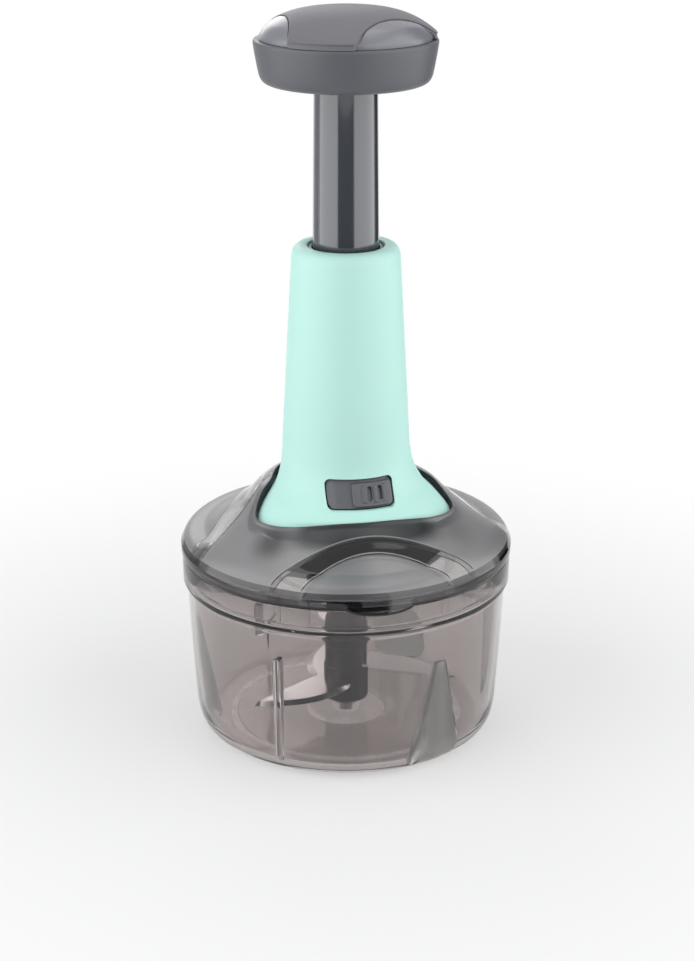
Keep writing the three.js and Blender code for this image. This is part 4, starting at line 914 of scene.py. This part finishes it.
def dome_height(reach):
    """The knob's top at a reach from its axis."""
    return knob_rim_height + knob_rise * (1 - min(reach / pad_radius, 1) ** knob_fullness)


def pad_reach(turn):
    """How far the pad reaches at a turn: to the rim, or to the arc of a window."""
    near = (turn - knob_turn) % 120 - 60
    middle = window_apex + window_arc
    across = middle * sin(radians(near))
    if abs(across) >= window_arc:
        return pad_radius
    arc = middle * cos(radians(near)) - (window_arc ** 2 - across ** 2) ** 0.5
    return min(arc, pad_radius)


# Acrylonitrile butadiene styrene with a pearl silver shade, moulded glossy: it shows the soft
# boxes as broad pale patches
pearl_grey = moulded("pearl_grey_abs_gloss", ("77777F", "7E7E86"), cloud_size=20 * mm, roughness=(0.24, 0.3),
                     ior=1.54)

cap_bottom, cap_wall = 270.3, 3.8
flush_depth, sunk_depth, step_in, step_run = 0.35, 1.72, 0.1, 0.3
edge_start, edge_run, edge_drop = 27, 4.6, 1.9
crown_reach, shoulder_run, shoulder_steps = 20, 11.2, 40
cap_rings = list(range(crown_reach))
cap_rings += [crown_reach + shoulder_run * i / shoulder_steps for i in range(shoulder_steps + 1)]
cap_section = [(reach, dome_height(reach)) for reach in cap_rings]
cap_section += [(31.5, dome_height(31.5) - 0.15), (31.6, dome_height(31.6) - 0.5), (31.6, cap_bottom),
                (29.4, cap_bottom)]
cap_section += [(reach, dome_height(reach) - cap_wall) for reach in reversed(cap_rings[::6]) if reach < 29.4]
bm = spun(cap_section, steps=360)
for vert in bm.verts:
    reach, height = hypot(vert.co.x, vert.co.y) / mm, vert.co.z / mm
    if height > max(dome_height(reach) - 1, cap_bottom + 0.1):
        out = pad_reach(degrees(atan2(vert.co.x, -vert.co.y)))
        in_window = eased((reach - out + step_in) / step_run)
        sunk = sunk_depth - (sunk_depth - flush_depth) * in_window
        sunk += in_window * edge_drop * max(reach - edge_start, 0) ** 2 / edge_run ** 2
        vert.co.z = max(vert.co.z - sunk * mm, (cap_bottom + 0.05) * mm)
moulding("knob_lens", bm, pearl_grey, "plunger_body", "gloss_grey", "knob_cap")

# Knob pad. A soft-touch rubber skin moulded over the cap, with three arms that run out to the
# rim between its windows, for the palm to press on.

# Thermoplastic rubber from a blasted mould: matt and a little cloudy, with a grain that is drawn
# at 0.6 mm, as the real one is too fine to show
soft_rubber = moulded("soft_touch_rubber", ("66656B", "6C6B71"), cloud_size=22 * mm, roughness=(0.5, 0.62),
                      ior=1.5, grain=(0.6 * mm, 0.65, 0.4))

pad_inset, pad_thick = 0.6, 1.42
edge_deep, rim_deeper, rim_fade_reach, rim_fade_run = 1.4, 0.8, 32, 1.3
# The share of the way out and the inset from the pad's edge, then the depth under the dome, or
# with a last 1 the height over the foot of the edge. A fine groove runs round the edge.
pad_section = [(i / 30, pad_inset, 0) for i in range(31)]
pad_section += [(1, 0.45, 0.02), (1, 0.25, 0.08), (1, 0.1, 0.2), (1, pad_inset, 0.45)]
pad_section += [(1, 0, 0.1, 1), (1, 0.15, 0, 1), (1, 1.2, 0, 1)]
pad_section += [(i / 12, pad_inset, pad_thick) for i in range(11, -1, -1)]
names = ("share", "inset", "depth", "from_foot")
# The wire only carries the values, so its points stand at their shares of a metre, a little apart
wire = [(values[0] / mm, number / 100, *values) for number, values in enumerate(pad_section)]
bm = turned_round(section_wire(wire, names, closed=False)[0], steps=360)
share, inset, depth, from_foot = (bm.verts.layers.float[name] for name in names)
for vert in bm.verts:
    turn = degrees(atan2(vert.co.x, -vert.co.y))
    out = pad_reach(turn)
    reach = vert[share] * (out - vert[inset])
    height = dome_height(reach) - vert[depth]
    if vert[from_foot] > 0.5:
        foot = edge_deep + rim_deeper * eased((out - rim_fade_reach) / rim_fade_run)
        height = dome_height(out) - foot + vert[depth]
    vert.co = (reach * sin(radians(turn)) * mm, -reach * cos(radians(turn)) * mm, height * mm)
bmesh.ops.recalc_face_normals(bm, faces=bm.faces)
pad = moulding("knob_soft_pad", bm, soft_rubber, "plunger_body", "soft_grey", "knob_pad", crease=50)

# Mechanism. The plates, bushes, clutch halves, rod, nut, spring and screws inside the handle keep
# the forms that carry the motion, and get the finish of their own material.

# Polyamide in its natural colour: milky and half dull, with light that sinks in a little
natural_nylon = moulded("natural_nylon", ("CFCDC2", "DAD8CF"), cloud_size=6 * mm, roughness=(0.4, 0.55),
                        ior=1.53, cloud_detail=3,
                        more={"Subsurface Weight": 0.15, "Subsurface Scale": 2 * mm})
nylon_nodes = ["mechanism_plate", "drive_bush", "guide_tube", "clutch_driver", "clutch_driven", "drive_nut",
               "lock_bolt"]
steel_nodes = ["spring_seat", "return_spring", "clutch_spring", "drive_rod", "knob_screw"]
steel_nodes += [f"{kind}_screw_{k}" for kind in ("housing", "plate") for k in (1, 2, 3)]
for names, finish in ((nylon_nodes, natural_nylon), (steel_nodes, turned_steel)):
    for name in names:
        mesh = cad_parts[name].data
        mesh.materials.clear()
        mesh.materials.append(finish)
